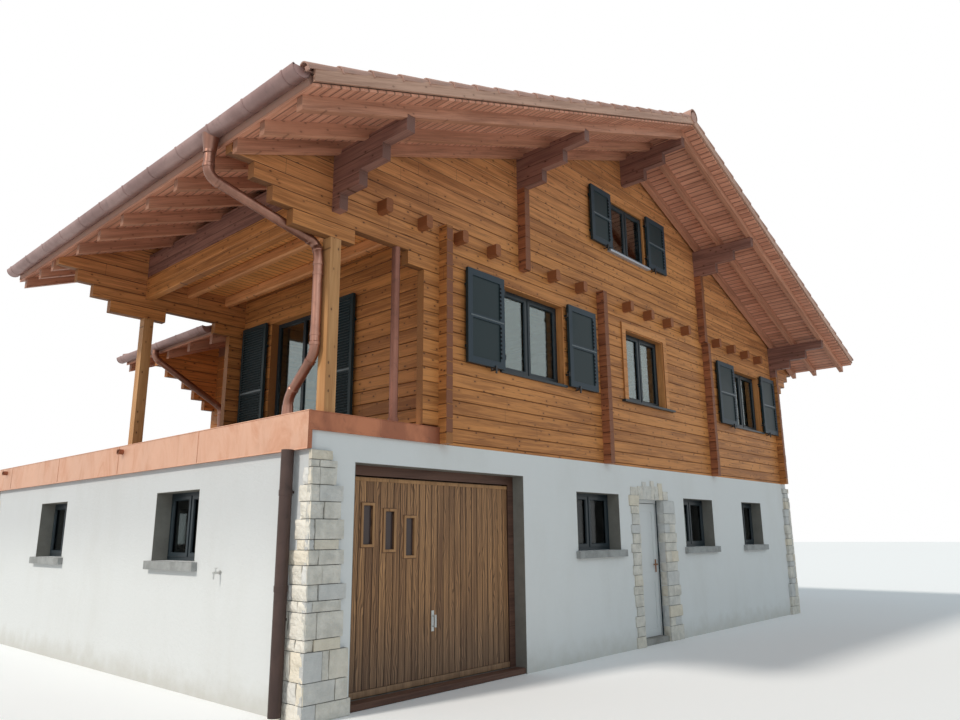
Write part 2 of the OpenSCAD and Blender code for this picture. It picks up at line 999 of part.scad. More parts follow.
module attic_joists()
{
  color([0.62, 0.38, 0.2])
    place()
    {
      all_joists(-head_out, rear_y);
      for (x = joist_xs)
        if (abs(x) > wing_run - 200)
          along_y(rear_y, rear_y + head_out)
            joist_outline(x);
    }
}

floor_boards_t = 27;

module attic_floor()
{
  color([0.7, 0.48, 0.27])
    place()
      block([-outer_purlin + log_t / 2, log_t, joist_z + log_h],
        [right_x - log_wall_t, rear_y - log_t, joist_z + log_h + floor_boards_t]);
}

module terrace_posts()
{
  color([0.68, 0.45, 0.25])
    place()
      for (y = [0, rear_y - post_w])
      {
        block([-outer_purlin - log_t / 2, y, coping_top + 10],
          [-outer_purlin - log_t / 2 + post_w, y + post_w, stub_z]);
        block([-outer_purlin - log_t / 2 - 15, y, coping_top],
          [-outer_purlin - log_t / 2 + post_w + 15, y + post_w + 15, coping_top + 10]);
      }
}

module edge_beam()
{
  color([0.64, 0.4, 0.21])
    place()
      translate([-outer_purlin - log_t / 2, 0, 0])
        along_y(log_t, rear_y - log_t)
          log_section(plate_z, 2, log_t, plate_z, plate_z + 2 * log_h, true);
}

module one_purlin(p)
{
  top = p[1] - 1;
  front = -purlin_over;
  back = rear_y + purlin_over;
  purlin_block(p, front, back, top, 1);
  purlin_block(p, front + corbel_step, back - corbel_step, top - 1, 1);
  for (y = [[front + 2 * corbel_step, log_t], [rear_y - log_t, back - 2 * corbel_step]])
    purlin_block(p, y[0], y[1], top - 2, 1);
  if (p[1] > 3)
    for (y = [[-log_end, log_t], [rear_y - log_t, rear_y + log_end]])
      purlin_block(p, y[0], y[1], 0, 1);
}

module purlins()
{
  color([0.6, 0.37, 0.2])
    place()
      for (p = purlin_list)
        one_purlin(p);
}

// places of the rafters in front of the gable, the others between the gables
over_rafters = [80, 505, 1035];
inner_rafters = [400, 1000, 1600, 2200, 2800, 3400];
rafter_ys = concat([for (v = over_rafters) -v], inner_rafters, [for (v = over_rafters) rear_y + v]);
tail_run = eave_run - 20;

module rafter_set(s)
{
  difference()
  {
    for (y = rafter_ys)
      along_y(y - rafter_w / 2, y + rafter_w / 2)
        slope_outline(s, ridge_z - rafter_v, rafter_v - fit_gap, 0, tail_run);
    for (p = purlin_list)
      purlin_block(p, -purlin_over - 10, rear_y + purlin_over + 10, p[1] - 1, 1);
  }
}

module left_rafters()
{
  color([0.66, 0.43, 0.24])
    place()
      rafter_set(-1);
}

module right_rafters()
{
  color([0.66, 0.43, 0.24])
    place()
      rafter_set(1);
}

verge_y0 = -verge_over;
verge_y1 = rear_y + verge_over;
verge_t = 25;

module left_roof_boards()
{
  color([0.68, 0.44, 0.25])
    place()
      along_y(verge_y0 + verge_t, verge_y1 - verge_t)
        slope_outline(-1, ridge_z, board_v, 0, eave_run);
}

module right_roof_boards()
{
  color([0.68, 0.44, 0.25])
    place()
      along_y(verge_y0 + verge_t, verge_y1 - verge_t)
        slope_outline(1, ridge_z, board_v, 0, eave_run);
}

verge_low = 35;
verge_high = 150;

module cover(s)
{
  along_y(verge_y0 + verge_t, verge_y1 - verge_t)
    slope_outline(s, ridge_z + board_v, cover_v, 0, eave_run);
  along_y(verge_y0 - 12, verge_y1 + 12)
    slope_outline(s, ridge_z + verge_high, board_v + cover_v - verge_high, 0, eave_run + 40);
}

module left_roof_tiles()
{
  color([0.5, 0.25, 0.17])
    place()
      cover(-1);
}

module right_roof_tiles()
{
  color([0.5, 0.25, 0.17])
    place()
      cover(1);
}

cap_r = 115;
cap_up = 150;

// ridge cap over the tiles of a roof with its ridge at z, from y0 to y1
module ridge_cap(z, y0, y1)
{
  cover_z = z + board_v + cover_v + fit_gap;
  difference()
  {
    translate([0, y1, z + cap_up])
      rotate([90, 0, 0])
        cylinder(r = cap_r, h = y1 - y0);
    along_y(y0 - 50, y1 + 50)
      polygon([[-800, z - 400], [-800, cover_z - 800 * slope], [0, cover_z], [800, cover_z - 800 * slope],
        [800, z - 400]]);
  }
}

module ridge_tiles()
{
  color([0.5, 0.25, 0.17])
    place()
    {
      ridge_cap(ridge_z, verge_y0 - 14, verge_y1 + 14);
      ridge_cap(wing_ridge, rear_y, wing_verge + 14);
    }
}

// outline of the board along both verges of a roof, from low up to the tiles
module verge_outline(run, z, low)
{
  high = verge_high - fit_gap;
  polygon([[-run, z - run * slope + low], [0, z + low], [run, z - run * slope + low],
    [run, z - run * slope + high], [0, z + high], [-run, z - run * slope + high]]);
}

module verge_boards()
{
  color([0.5, 0.36, 0.27])
    place()
      for (y = [verge_y0, verge_y1 - verge_t])
        along_y(y, y + verge_t)
          verge_outline(eave_run, ridge_z, verge_low);
}

gutter_x = eave_run + gutter_r + 3;
gutter_z = deck(eave_run) + 128;
gutter_back = 50;
wing_gutter_x = wing_run + gutter_r + 3;
wing_gutter_z = wing_deck(wing_run) + 100;

module gutter_run(x, z, y0, y1)
{
  translate([x, 0, z])
  {
    along_y(y0, y1)
      difference()
      {
        circle(r = gutter_r);
        circle(r = gutter_r - sheet_t);
        translate([-200, 0])
          square([400, 200]);
      }
    for (y = [y0, y1 - sheet_t])
      along_y(y, y + sheet_t)
        difference()
        {
          circle(r = gutter_r - 1);
          translate([-200, 0])
            square([400, 200]);
        }
  }
}

// brackets between a gutter and the edge of the roof boards at in_x, n + 1 of them
module gutter_hooks(s, x, z, y0, y1, n, in_x)
{
  hook_z = z - 6;
  near = x - gutter_r + 3;
  for (i = [0 : n])
    translate([0, y0 + 60 + i * (y1 - y0 - 150) / n, 0])
      block([min(s * near, s * in_x), 0, hook_z - 24], [max(s * near, s * in_x), 30, hook_z]);
}

module gutters()
{
  main_y = [verge_y0 + gutter_back, verge_y1 - gutter_back];
  wing_ys = [rear_y + 20, wing_y + wing_over];
  color([0.5, 0.3, 0.26])
    place()
      for (s = [-1, 1])
      {
        gutter_run(s * gutter_x, gutter_z, main_y[0], main_y[1]);
        gutter_hooks(s, gutter_x, gutter_z, main_y[0], main_y[1], 8, eave_run);
        gutter_run(s * wing_gutter_x, wing_gutter_z, wing_ys[0], wing_ys[1]);
        gutter_hooks(s, wing_gutter_x, wing_gutter_z, wing_ys[0], wing_ys[1], 4, wing_run);
      }
}

// a pipe through a list of points
module pipe(points, r)
{
  for (i = [0 : len(points) - 2])
    pipe_piece(points[i], points[i + 1], r);
  for (i = [1 : len(points) - 2])
    translate(points[i])
      sphere(r = r + 2, $fn = 48);
}

module pipe_piece(a, b, r)
{
  d = b - a;
  len_ab = norm(d);
  translate(a)
    rotate([0, acos(d[2] / len_ab), atan2(d[1], d[0])])
      cylinder(r = r, h = len_ab);
}

pipe_off = pipe_r + 12;
post_pipe_x = -outer_purlin - log_t / 2 - pipe_r - 4;
funnel_z = gutter_z - gutter_r - 90;
coping_pipe = [-half + 75, 500];
left_pipe = [[-gutter_x, 150, funnel_z], [-gutter_x, 150, upper_z + 2120], [post_pipe_x, 160, upper_z + 1840],
  [post_pipe_x, 112, upper_z + 1700], [post_pipe_x, 112, coping_top + 560],
  [coping_pipe[0], coping_pipe[1], coping_top + 190], [coping_pipe[0], coping_pipe[1], coping_top]];
right_pipe_y = rear_y - 350;
right_pipe = [[gutter_x, right_pipe_y, funnel_z], [gutter_x, right_pipe_y, upper_z + 2120],
  [half + pipe_off, right_pipe_y, upper_z + 1560], [half + pipe_off, right_pipe_y, 40]];
wing_pipe_y = wing_y - 430;
wing_pipe = [[-wing_gutter_x, wing_pipe_y + 150, wing_gutter_z - gutter_r + 3],
  [-wing_gutter_x, wing_pipe_y + 150, wing_gutter_z - 200], [-wing_x - pipe_off, wing_pipe_y, fz(7)],
  [-wing_x - pipe_off, wing_pipe_y, base_h + paving_t]];
base_pipe_x = -half - base_pipe_r - 25;
base_pipe_y = 225;

// strap that holds a pipe on the wall at to_x
module clip(x, y, z, to_x)
{
  block([min(x, to_x), y - 15, z], [max(x, to_x), y + 15, z + 24]);
}

module funnel(x, y)
{
  translate([x, y, funnel_z - 10])
    cylinder(r1 = pipe_r + 4, r2 = gutter_r - 6, h = 130);
}

module downpipes()
{
  color([0.6, 0.36, 0.27])
    place()
    {
      difference()
      {
        union()
        {
          pipe(left_pipe, pipe_r);
          funnel(-gutter_x, 150);
          pipe(right_pipe, pipe_r);
          funnel(gutter_x, right_pipe_y);
          pipe(wing_pipe, pipe_r);
          mirror([1, 0, 0])
            pipe(wing_pipe, pipe_r);
        }
        for (s = [-1, 1])
        {
          gutter_space(s * gutter_x, gutter_z);
          gutter_space(s * wing_gutter_x, wing_gutter_z);
        }
      }
      translate([coping_pipe[0], coping_pipe[1], coping_top])
        cylinder(r = pipe_r + 12, h = 110);
      for (z = [900, 1500])
        block([post_pipe_x, 90, upper_z + z], [-outer_purlin - log_t / 2, 125, upper_z + z + 30]);
      translate([-side_x - 590, log_t / 2, coping_top])
        cylinder(r = pipe_r, h = beam_z - coping_top);
      translate([base_pipe_x, base_pipe_y, 40])
        cylinder(r = base_pipe_r, h = fascia_low - 40);
      for (c = [[800, side_out], [1880, 0]])
      {
        clip(base_pipe_x, base_pipe_y, c[0], -half - c[1]);
        clip(half + pipe_off, right_pipe_y, c[0], half);
      }
      for (z = [upper_z + 700, upper_z + 1000])
      {
        clip(-wing_x - pipe_off, wing_pipe_y, z, -wing_x);
        clip(wing_x + pipe_off, wing_pipe_y, z, wing_x);
      }
    }
}

module gutter_space(x, z)
{
  translate([x, -2000, z])
    rotate([-90, 0, 0])
      cylinder(r = gutter_r, h = 12000);
}

// units of the log storey: place, width, height, sashes
module unit(kind, w, h, n, t)
{
  if (kind == "frame")
    win_frame(w, h, n, t);
  else
    win_panes(w, h, n, t);
}

frame_set = 110;
unit_t = 60;
wing_wins = [[-2500, 1100], [1400, 1100]];

module upper_units(kind)
{
  for (w = upper_wins)
    translate([w[0], frame_set, w[2]])
      unit(kind, w[1] - w[0], w[3] - w[2], 2, unit_t);
  translate([attic_win[0], 35, attic_win[2]])
    unit(kind, attic_win[1] - attic_win[0], attic_win[3] - attic_win[2], 2, 50);
  translate([right_x - frame_set, side_win[0], side_win[2]])
    rotate(90)
      unit(kind, side_win[1] - side_win[0], side_win[3] - side_win[2], 2, unit_t);
  for (w = wing_wins)
    translate([w[0] + w[1], wing_y - frame_set, beam_z - win_h - log_h])
      rotate(180)
        unit(kind, w[1], win_h, 2, unit_t);
  translate([-side_x + frame_set, door_y1, door_z0])
    rotate(-90)
      unit(kind, door_y1 - door_y0, door_z1 - door_z0, 2, unit_t);
}

module upper_window_frames()
{
  color([0.16, 0.18, 0.19])
    place()
      difference()
      {
        upper_units("frame");
        door_region();
      }
}

module door_region()
{
  block([-side_x - 50, door_y0 - 10, door_z0 - 10],
    [-side_x + log_wall_t + 50, door_y1 + 10, door_z1 + 10]);
}

module terrace_door()
{
  color([0.16, 0.18, 0.19])
    place()
      intersection()
      {
        upper_units("frame");
        door_region();
      }
}

module upper_glass()
{
  color([0.35, 0.42, 0.45, 0.4])
    place()
      upper_units("glass");
}

casing_w = 100;
casing_t = 22;
upper_sill_d = 30;
upper_sill_out = shutter_gap - 4;

// casing boards beside and over the middle window, and sills
module window_casings()
{
  color([0.62, 0.4, 0.22])
    place()
    {
      for (x = [mid_win[0] - casing_w, mid_win[1]])
        block([x, -casing_t, mid_win[2]], [x + casing_w, 0, mid_win[3]]);
      block([mid_win[0] - casing_w, -casing_t, mid_win[3] + 1],
        [mid_win[1] + casing_w, 0, mid_win[3] + casing_w]);
      for (w = [left_win, right_win])
        block([w[0] - 20, -upper_sill_out, w[2] - upper_sill_d], [w[1] + 20, 0, w[2]]);
      block([mid_win[0] - casing_w - 60, -sill_out, mid_win[2] - upper_sill_d],
        [mid_win[1] + casing_w + 105, 0, mid_win[2] - 1]);
      block([attic_win[0] - 60, -sill_out, attic_win[2] - upper_sill_d],
        [attic_win[1] + 60, 0, attic_win[2]]);
      block([right_x, side_win[0] - 20, side_win[2] - upper_sill_d],
        [right_x + 45, side_win[1] + 20, side_win[2]]);
      for (w = wing_wins)
        block([w[0] - 20, wing_y, beam_z - win_h - log_h - upper_sill_d],
          [w[0] + w[1] + 20, wing_y + 45, beam_z - win_h - log_h]);
    }
}

stile_w = 52;
panel_t = 12;

// a shutter in the x and z plane, outer face at 0, with blocks that carry it off the wall
module shutter(w, h)
{
  difference()
  {
    cube([w, shutter_t, h]);
    for (z = [[stile_w, h / 2 - stile_w / 2], [h / 2 + stile_w / 2, h - stile_w]])
    {
      translate([stile_w, -1, z[0]])
        cube([w - 2 * stile_w, (shutter_t - panel_t) / 2 + 1, z[1] - z[0]]);
      translate([stile_w, (shutter_t + panel_t) / 2, z[0]])
        cube([w - 2 * stile_w, shutter_t, z[1] - z[0]]);
    }
  }
  for (x = [12, w - 42])
    for (z = [h * 0.16, h * 0.84 - 30])
      translate([x, shutter_t, z])
        cube([30, shutter_gap, 30]);
}

front_shutters = [[-3680, 640], [-1710, 650], [2840, 670], [4770, 650]];
attic_shutters = [[-1030, 530], [570, 580]];
side_shutters = [[1420, 580], [3350, 600]];
shutter_h = win_h + 40;

module shutters()
{
  color([0.2, 0.22, 0.24])
    place()
    {
      for (s = front_shutters)
        translate([s[0], -shutter_t - shutter_gap, beam_z - win_h - 10])
          shutter(s[1], shutter_h);
      for (s = attic_shutters)
        translate([s[0], -shutter_t - shutter_gap, attic_win[2] + 10])
          shutter(s[1], attic_win[3] - attic_win[2] + 30);
      for (s = side_shutters)
        translate([-side_x - shutter_t - shutter_gap, s[0] + s[1], door_z0 + 20])
          rotate(-90)
            shutter(s[1], door_z1 - door_z0 - 10);
    }
}

// rear wing
wing_side_top = wing_deck(wing_x) - rafter_v;
wing_end_max = wing_run - 40;
// stepped log ends of the wing gable: joint, distance from the ridge
wing_ends = [[7, wing_run - 870], [8, wing_run - 680], [9, wing_run - 500], [10, wing_run - 210],
  [11, wing_end_max]];
wing_beam_h = 170;

module wing_beams()
{
  for (s = [-1, 1])
    block([s * wing_x - (s > 0 ? log_t : 0), rear_y, wing_side_top + 30 - wing_beam_h],
      [s * wing_x + (s > 0 ? 0 : log_t), wing_y + wing_over - 60, wing_side_top + 30]);
  block([-log_t / 2, rear_y, wing_ridge - 330], [log_t / 2, wing_y + wing_over - 60, wing_ridge - 110]);
}

module wing_outline()
{
  intersection()
  {
    union()
    {
      translate([-wing_x, base_h])
        square([2 * wing_x, wing_ridge - base_h]);
      for (e = wing_ends)
        translate([-e[1], fz(e[0])])
          square([2 * e[1], log_h]);
      translate([-wing_end_max, fz(12)])
        square([2 * wing_end_max, wing_ridge - beam_z + log_h]);
    }
    polygon([[-wing_run, base_h], [-wing_run, wing_deck(wing_run)], [0, wing_ridge],
      [wing_run, wing_deck(wing_run)], [wing_run, base_h]]);
  }
}

module wing_walls()
{
  color([0.66, 0.42, 0.22])
    place()
      difference()
      {
        union()
        {
          for (s = [-1, 1])
            scale_side(s)
              translate([-wing_x, 0, 0])
                along_y(rear_y, wing_y - log_t)
                  log_section(sz(0), 14, log_wall_t, base_h, wing_side_top);
          intersection()
          {
            translate([0, wing_y, 0])
              mirror([0, 1, 0])
                along_x(-wing_run, wing_run)
                  log_section(fz(0), 24, log_t, base_h, wing_ridge, true);
            along_y(wing_y - log_t - 1, wing_y + 1)
              wing_outline();
          }
          block([-wing_x + log_wall_t, wing_y - log_wall_t, base_h],
            [wing_x - log_wall_t, wing_y - log_t, beam_z]);
        }
        wing_beams();
        for (w = wing_wins)
          block([w[0], wing_y - log_wall_t - 20, beam_z - win_h - log_h],
            [w[0] + w[1], wing_y + 20, beam_z - log_h]);
      }
}

module scale_side(s)
{
  if (s < 0)
    children();
  else
    mirror([1, 0, 0])
      children();
}

// places of the wing rafters behind the log storey
wing_rafter_ys = [for (v = [110, 770, 1430, 2370, wing_d + wing_over - 110]) rear_y + v];

module wing_rafters()
{
  color([0.66, 0.43, 0.24])
    place()
    {
      wing_beams();
      difference()
      {
        for (y = wing_rafter_ys)
          for (s = [-1, 1])
            along_y(y - rafter_w / 2, y + rafter_w / 2)
              slope_outline(s, wing_ridge - rafter_v, rafter_v - fit_gap, 0, wing_run - 20);
        wing_beams();
      }
    }
}

wing_verge = wing_y + wing_over;

module wing_roof_boards()
{
  color([0.68, 0.44, 0.25])
    place()
    {
      for (s = [-1, 1])
        along_y(rear_y, wing_verge - verge_t)
          slope_outline(s, wing_ridge, board_v, 0, wing_run);
      along_y(wing_verge - verge_t, wing_verge)
        verge_outline(wing_run, wing_ridge, 0);
    }
}

module wing_roof_tiles()
{
  color([0.5, 0.25, 0.17])
    place()
    {
      for (s = [-1, 1])
      {
        along_y(rear_y, wing_verge - verge_t)
          slope_outline(s, wing_ridge + board_v, cover_v, 0, wing_run);
        along_y(wing_verge - verge_t - 1, wing_verge + 12)
          slope_outline(s, wing_ridge + verge_high, board_v + cover_v - verge_high, 0, wing_run + 40);
      }
    }
}

tap_at = [-half, 1400, 1170];

module tap()
{
  color([0.6, 0.6, 0.62])
    place()
      translate(tap_at)
      {
        translate([-8, 0, 0])
          rotate([0, 90, 0])
            cylinder(r = 22, h = 8);
        translate([-80, 0, 0])
          rotate([0, 90, 0])
            cylinder(r = 11, h = 74);
        translate([-68, 0, -60])
          cylinder(r = 8, h = 60);
        translate([-50, 0, 0])
          cylinder(r = 6, h = 45);
        translate([-56, -24, 40])
          cube([12, 48, 8]);
      }
}

floor_slab();
base_front_left();
base_front_middle();
base_front_right();
base_lintels();
base_left_wall();
base_right_wall();
base_rear_wall();
corner_stones();
door_surround();
base_sills();
base_window_frames();
base_glass();
garage_frame();
entrance_frame();
ceiling_slab();
terrace_floor();
copper_coping();
front_log_wall();
front_gable();
left_log_wall();
right_log_wall();
rear_log_wall();
rear_gable();
cross_log_ends();
attic_joists();
attic_floor();
terrace_posts();
edge_beam();
purlins();
left_rafters();
right_rafters();
left_roof_boards();
right_roof_boards();
left_roof_tiles();
right_roof_tiles();
ridge_tiles();
verge_boards();
gutters();
downpipes();
upper_window_frames();
upper_glass();
window_casings();
shutters();
terrace_door();
wing_walls();
wing_rafters();
wing_roof_boards();
wing_roof_tiles();
tap();
garage_leaf();
garage_glass();
garage_handle();
entrance_leaf();
entrance_handle();
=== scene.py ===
# Alpine chalet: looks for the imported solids, in metres
import bpy
import bmesh
import math
import numpy
import random
from mathutils import Matrix, Vector, noise as solidNoise


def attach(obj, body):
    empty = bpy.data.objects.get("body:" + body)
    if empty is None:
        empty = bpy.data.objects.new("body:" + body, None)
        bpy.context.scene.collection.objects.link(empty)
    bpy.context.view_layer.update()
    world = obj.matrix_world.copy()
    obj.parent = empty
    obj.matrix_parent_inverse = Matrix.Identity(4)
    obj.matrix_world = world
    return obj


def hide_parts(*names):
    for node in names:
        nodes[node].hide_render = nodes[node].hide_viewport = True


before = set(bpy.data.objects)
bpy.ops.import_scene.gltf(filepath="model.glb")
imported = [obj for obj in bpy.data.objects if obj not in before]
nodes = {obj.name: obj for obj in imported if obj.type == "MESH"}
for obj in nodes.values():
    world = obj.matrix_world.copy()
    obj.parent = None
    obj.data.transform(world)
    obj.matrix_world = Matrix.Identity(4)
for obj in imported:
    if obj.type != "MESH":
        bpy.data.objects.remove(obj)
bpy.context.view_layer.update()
scene = bpy.context.scene
print("frame loaded:", len(nodes), "nodes")

# measures that several pieces share
pitch = math.radians(21)
boardUp = 0.024 / math.cos(pitch)  # roof boards, measured upright
ridgeUnder = 7.42026  # underside of the roof boards at the ridge
wingDrop = 1.36
eaveRun = 6.67
wingRun = 4.5
half = 5.68  # half the width of the base
depth = 4.25  # half the depth of the base
frontY = -depth
rearLogY = -0.12
wingRearY = 1.78
terraceX = -4.08  # face of the wall on the terrace
logHeight = 0.154
frontJoint = 2.44 + 0.036  # lowest joint of the front logs
sideJoint = 2.553  # lowest joint of the crossing logs
beamZ = frontJoint + 13 * logHeight  # top of the upper windows
joistZ = frontJoint + 15 * logHeight - 0.05
atticSillZ = 5.64
atticHeight = frontJoint + 26 * logHeight - atticSillZ


# shader helpers; each adds its nodes to the tree of the sockets it is given
def treeOf(*values):
    return next(value.id_data for value in values if isinstance(value, bpy.types.NodeSocket))


def feed(socket, value):
    # value is a number, a color, a vector or another node's output
    if isinstance(value, (int, float)):
        socket.default_value = value
    elif isinstance(value, (tuple, list)):
        socket.default_value = (*value, 1) if socket.type == "RGBA" else value
    else:
        socket.id_data.links.new(value, socket)


def addNode(tree, kind, **values):
    made = tree.nodes.new("ShaderNode" + kind)
    for key, value in values.items():
        if key in made.inputs:
            feed(made.inputs[key], value)
        else:
            setattr(made, key, value)
    return made


def mathNode(operation, a, b=0.0, clamp=False):
    made = addNode(treeOf(a, b), "Math", operation=operation, use_clamp=clamp)
    feed(made.inputs[0], a)
    feed(made.inputs[1], b)
    return made.outputs[0]


def times(a, b):
    return mathNode("MULTIPLY", a, b)


def plus(a, b):
    return mathNode("ADD", a, b)


def minus(a, b):
    return mathNode("SUBTRACT", a, b)


def mixColor(factor, a, b, blend="MIX"):
    made = addNode(treeOf(factor), "Mix", data_type="RGBA", blend_type=blend)
    for index, value in ((0, factor), (6, a), (7, b)):
        feed(made.inputs[index], value)
    return made.outputs[2]


def mapRange(value, low, high, toLow=0.0, toHigh=1.0):
    made = addNode(treeOf(value), "MapRange", interpolation_type="SMOOTHSTEP")
    for index, given in enumerate((value, low, high, toLow, toHigh)):
        feed(made.inputs[index], given)
    return made.outputs[0]


def combine(x, y, z):
    return addNode(treeOf(x, y, z), "CombineXYZ", X=x, Y=y, Z=z).outputs[0]


def separate(vector):
    return addNode(treeOf(vector), "SeparateXYZ", Vector=vector).outputs


def noise(vector, scale, detail=3.0, rough=0.55, distortion=0.0):
    made = addNode(treeOf(vector), "TexNoise", Vector=vector, Scale=scale, Detail=detail, Roughness=rough,
                   Distortion=distortion)
    return made.outputs["Fac"]


def ownShade(tree):
    # the tone of each tile or stone, stored with its faces
    return addNode(tree, "Attribute", attribute_name="shade").outputs["Fac"]


def newGroup(name, inputs, outputs):
    # an input's default says its kind, and a vector has none
    group = bpy.data.node_groups.new(name, "ShaderNodeTree")
    for label, given in inputs.items():
        kind = "Vector" if given is None else "Color" if isinstance(given, tuple) else "Float"
        socket = group.interface.new_socket(name=label, in_out="INPUT", socket_type="NodeSocket" + kind)
        if given is not None:
            socket.default_value = given
    for label in outputs:
        kind = "Color" if label == "Color" else "Float"
        group.interface.new_socket(name=label, in_out="OUTPUT", socket_type="NodeSocket" + kind)
    return group, group.nodes.new("NodeGroupInput").outputs, group.nodes.new("NodeGroupOutput").inputs


def buildWoodGroup():
    # grain runs along the first axis of Vector, rows are stacked on the third
    group, given, out = newGroup("woodGrain", {
        "Vector": None, "Row Height": logHeight, "First Joint": 0.0, "Light": (0.5, 0.3, 0.15, 1),
        "Dark": (0.25, 0.12, 0.05, 1), "Knots": 1.0, "Fine": 1.0, "Row Contrast": 0.35, "Butts": 0.0,
        "Joint": 0.007, "Cracks": 0.3}, ("Color", "Roughness", "Height"))
    along, across, up = separate(given["Vector"])
    rows = mathNode("DIVIDE", minus(up, given["First Joint"]), given["Row Height"])
    inRow = mathNode("FRACT", rows)
    rowPick = addNode(group, "TexWhiteNoise", noise_dimensions="1D", W=mathNode("FLOOR", rows))
    rowRandom = rowPick.outputs["Value"]
    shifted = plus(along, times(rowRandom, 41.0))
    acrossFine = times(across, given["Fine"])
    upFine = times(up, given["Fine"])

    def stretched(a, b, c):
        return combine(times(shifted, a), times(acrossFine, b), times(upFine, c))

    # long streaks, fine fibres and broad changes
    streak = noise(stretched(0.9, 18.0, 18.0), 1.0, 4.0, 0.6, 0.6)
    fibre = noise(stretched(3.0, 140.0, 140.0), 1.0, 3.0, 0.6)
    broad = noise(combine(times(shifted, 0.35), across, up), 1.6, 2.0)
    tone = plus(times(streak, 0.75), times(fibre, 0.4))
    tone = plus(tone, times(broad, 0.35))
    rowTone = times(minus(rowRandom, 0.5), given["Row Contrast"])
    toneMask = mathNode("ADD", mapRange(tone, 0.6, 0.92), rowTone, clamp=True)
    color = mixColor(toneMask, given["Light"], given["Dark"])
    # knots: small dark spots with a ring
    cells = addNode(group, "TexVoronoi", voronoi_dimensions="2D", Scale=9.0, Randomness=1.0,
                    Vector=combine(times(shifted, 0.62), up, across))
    knotPick = addNode(group, "TexWhiteNoise", noise_dimensions="3D", Vector=cells.outputs["Color"])
    knotAmount = times(mapRange(knotPick.outputs["Value"], 0.35, 0.7), given["Knots"])
    knotRing = mapRange(cells.outputs["Distance"], 0.08, 0.3, 1.0, 0.0)
    knotCore = mapRange(cells.outputs["Distance"], 0.05, 0.105, 1.0, 0.0)
    color = mixColor(times(times(knotRing, knotAmount), 0.35), color, given["Dark"])
    color = mixColor(times(times(knotCore, knotAmount), 0.85), color, (0.06, 0.022, 0.011))
    # drying cracks, short and thin along the grain
    cracks = mapRange(noise(stretched(2.1, 30.0, 62.0), 1.0, 2.0, 0.5, 0.4), 0.63, 0.72)
    color = mixColor(times(cracks, given["Cracks"]), color, (0.1, 0.042, 0.02))
    # darker towards the joints between rows: partly the joint's own dark, partly painted shade in the groove
    jointShade = (0.05, 0.024, 0.014)
    edge = mathNode("MINIMUM", inRow, minus(1.0, inRow))
    edgeHeight = times(edge, given["Row Height"])
    jointAt = mathNode("DIVIDE", edgeHeight, given["Joint"])
    color = mixColor(mapRange(jointAt, 0.2, 1.0, 0.66, 0.0), color, jointShade)
    # butt joints, one in every few metres of a row, as dark lines that are partly painted shade
    buttAt = mathNode("FRACT", mathNode("DIVIDE", shifted, 3.7))
    butt = times(mathNode("LESS_THAN", buttAt, 0.0011), given["Butts"])
    color = mixColor(times(butt, 0.7), color, jointShade)
    rough = plus(0.42, times(fibre, 0.28))
    height = minus(times(fibre, 0.6), times(knotCore, 0.3))
    height = plus(height, times(streak, 0.4))
    height = plus(height, mapRange(edgeHeight, 0.0, 0.008, -1.5, 0.0))
    for label, value in (("Color", color), ("Roughness", rough), ("Height", height)):
        feed(out[label], value)
    return group


def buildGrimeGroup():
    # blotches drawn out upright by Streak, and a fine unevenness
    inputs = {"Vector": None, "Scale": 1.0, "Low": 0.45, "High": 0.75, "Streak": 1.0}
    group, given, out = newGroup("grime", inputs, ("Mask", "Height"))
    x, y, z = separate(given["Vector"])
    drawnOut = combine(x, y, mathNode("DIVIDE", z, given["Streak"]))
    blotches = noise(drawnOut, given["Scale"], 5.0, 0.65)
    feed(out["Mask"], mapRange(blotches, given["Low"], given["High"]))
    feed(out["Height"], noise(given["Vector"], 60.0, 3.0, 0.6))
    return group


woodGroup = buildWoodGroup()
grimeGroup = buildGrimeGroup()
print("shader groups ready")


def startMaterial(name, metallic=0.0, coat=0.0, specular=0.5):
    material = bpy.data.materials.new(name)
    material.use_nodes = True
    tree = material.node_tree
    shader = tree.nodes["Principled BSDF"]
    for label, value in (("Metallic", metallic), ("Coat Weight", coat), ("Specular IOR Level", specular)):
        shader.inputs[label].default_value = value
    return material, shader, addNode(tree, "TexCoord").outputs["Object"]


def normalOf(coords):
    return coords.node.outputs["Normal"]


def endMaterial(shader, color, rough, height, strength, distance):
    bump = addNode(shader.id_data, "Bump", Strength=strength, Distance=distance, Height=height)
    for label, value in (("Base Color", color), ("Roughness", rough), ("Normal", bump.outputs["Normal"])):
        feed(shader.inputs[label], value)


def placeGroup(group, vector, **values):
    made = addNode(treeOf(vector), "Group", node_tree=group)
    for key, value in {"Vector": vector, **values}.items():
        feed(made.inputs[key], value)
    return made.outputs


def turnedVector(vector, axis, tilt=0.0):
    # puts the grain's axis first and the axis across the rows last
    if tilt:
        mapping = addNode(treeOf(vector), "Mapping", vector_type="POINT", Rotation=(0, tilt, 0), Vector=vector)
        vector = mapping.outputs["Vector"]
    x, y, z = separate(vector)
    if axis == "verge":  # both slopes at once
        out = mathNode("ABSOLUTE", x)
        cosine, sine = math.cos(pitch), math.sin(pitch)
        along = minus(times(out, cosine), times(z, sine))
        up = plus(times(out, sine), times(z, cosine))
        return combine(along, y, up)
    orders = {"x": (x, y, z), "y": (y, x, z), "z": (z, y, x), "slopeBoards": (y, z, x), "ceiling": (x, z, y)}
    return combine(*orders[axis])


def scaledColor(color, factor):
    return [value * factor for value in color]


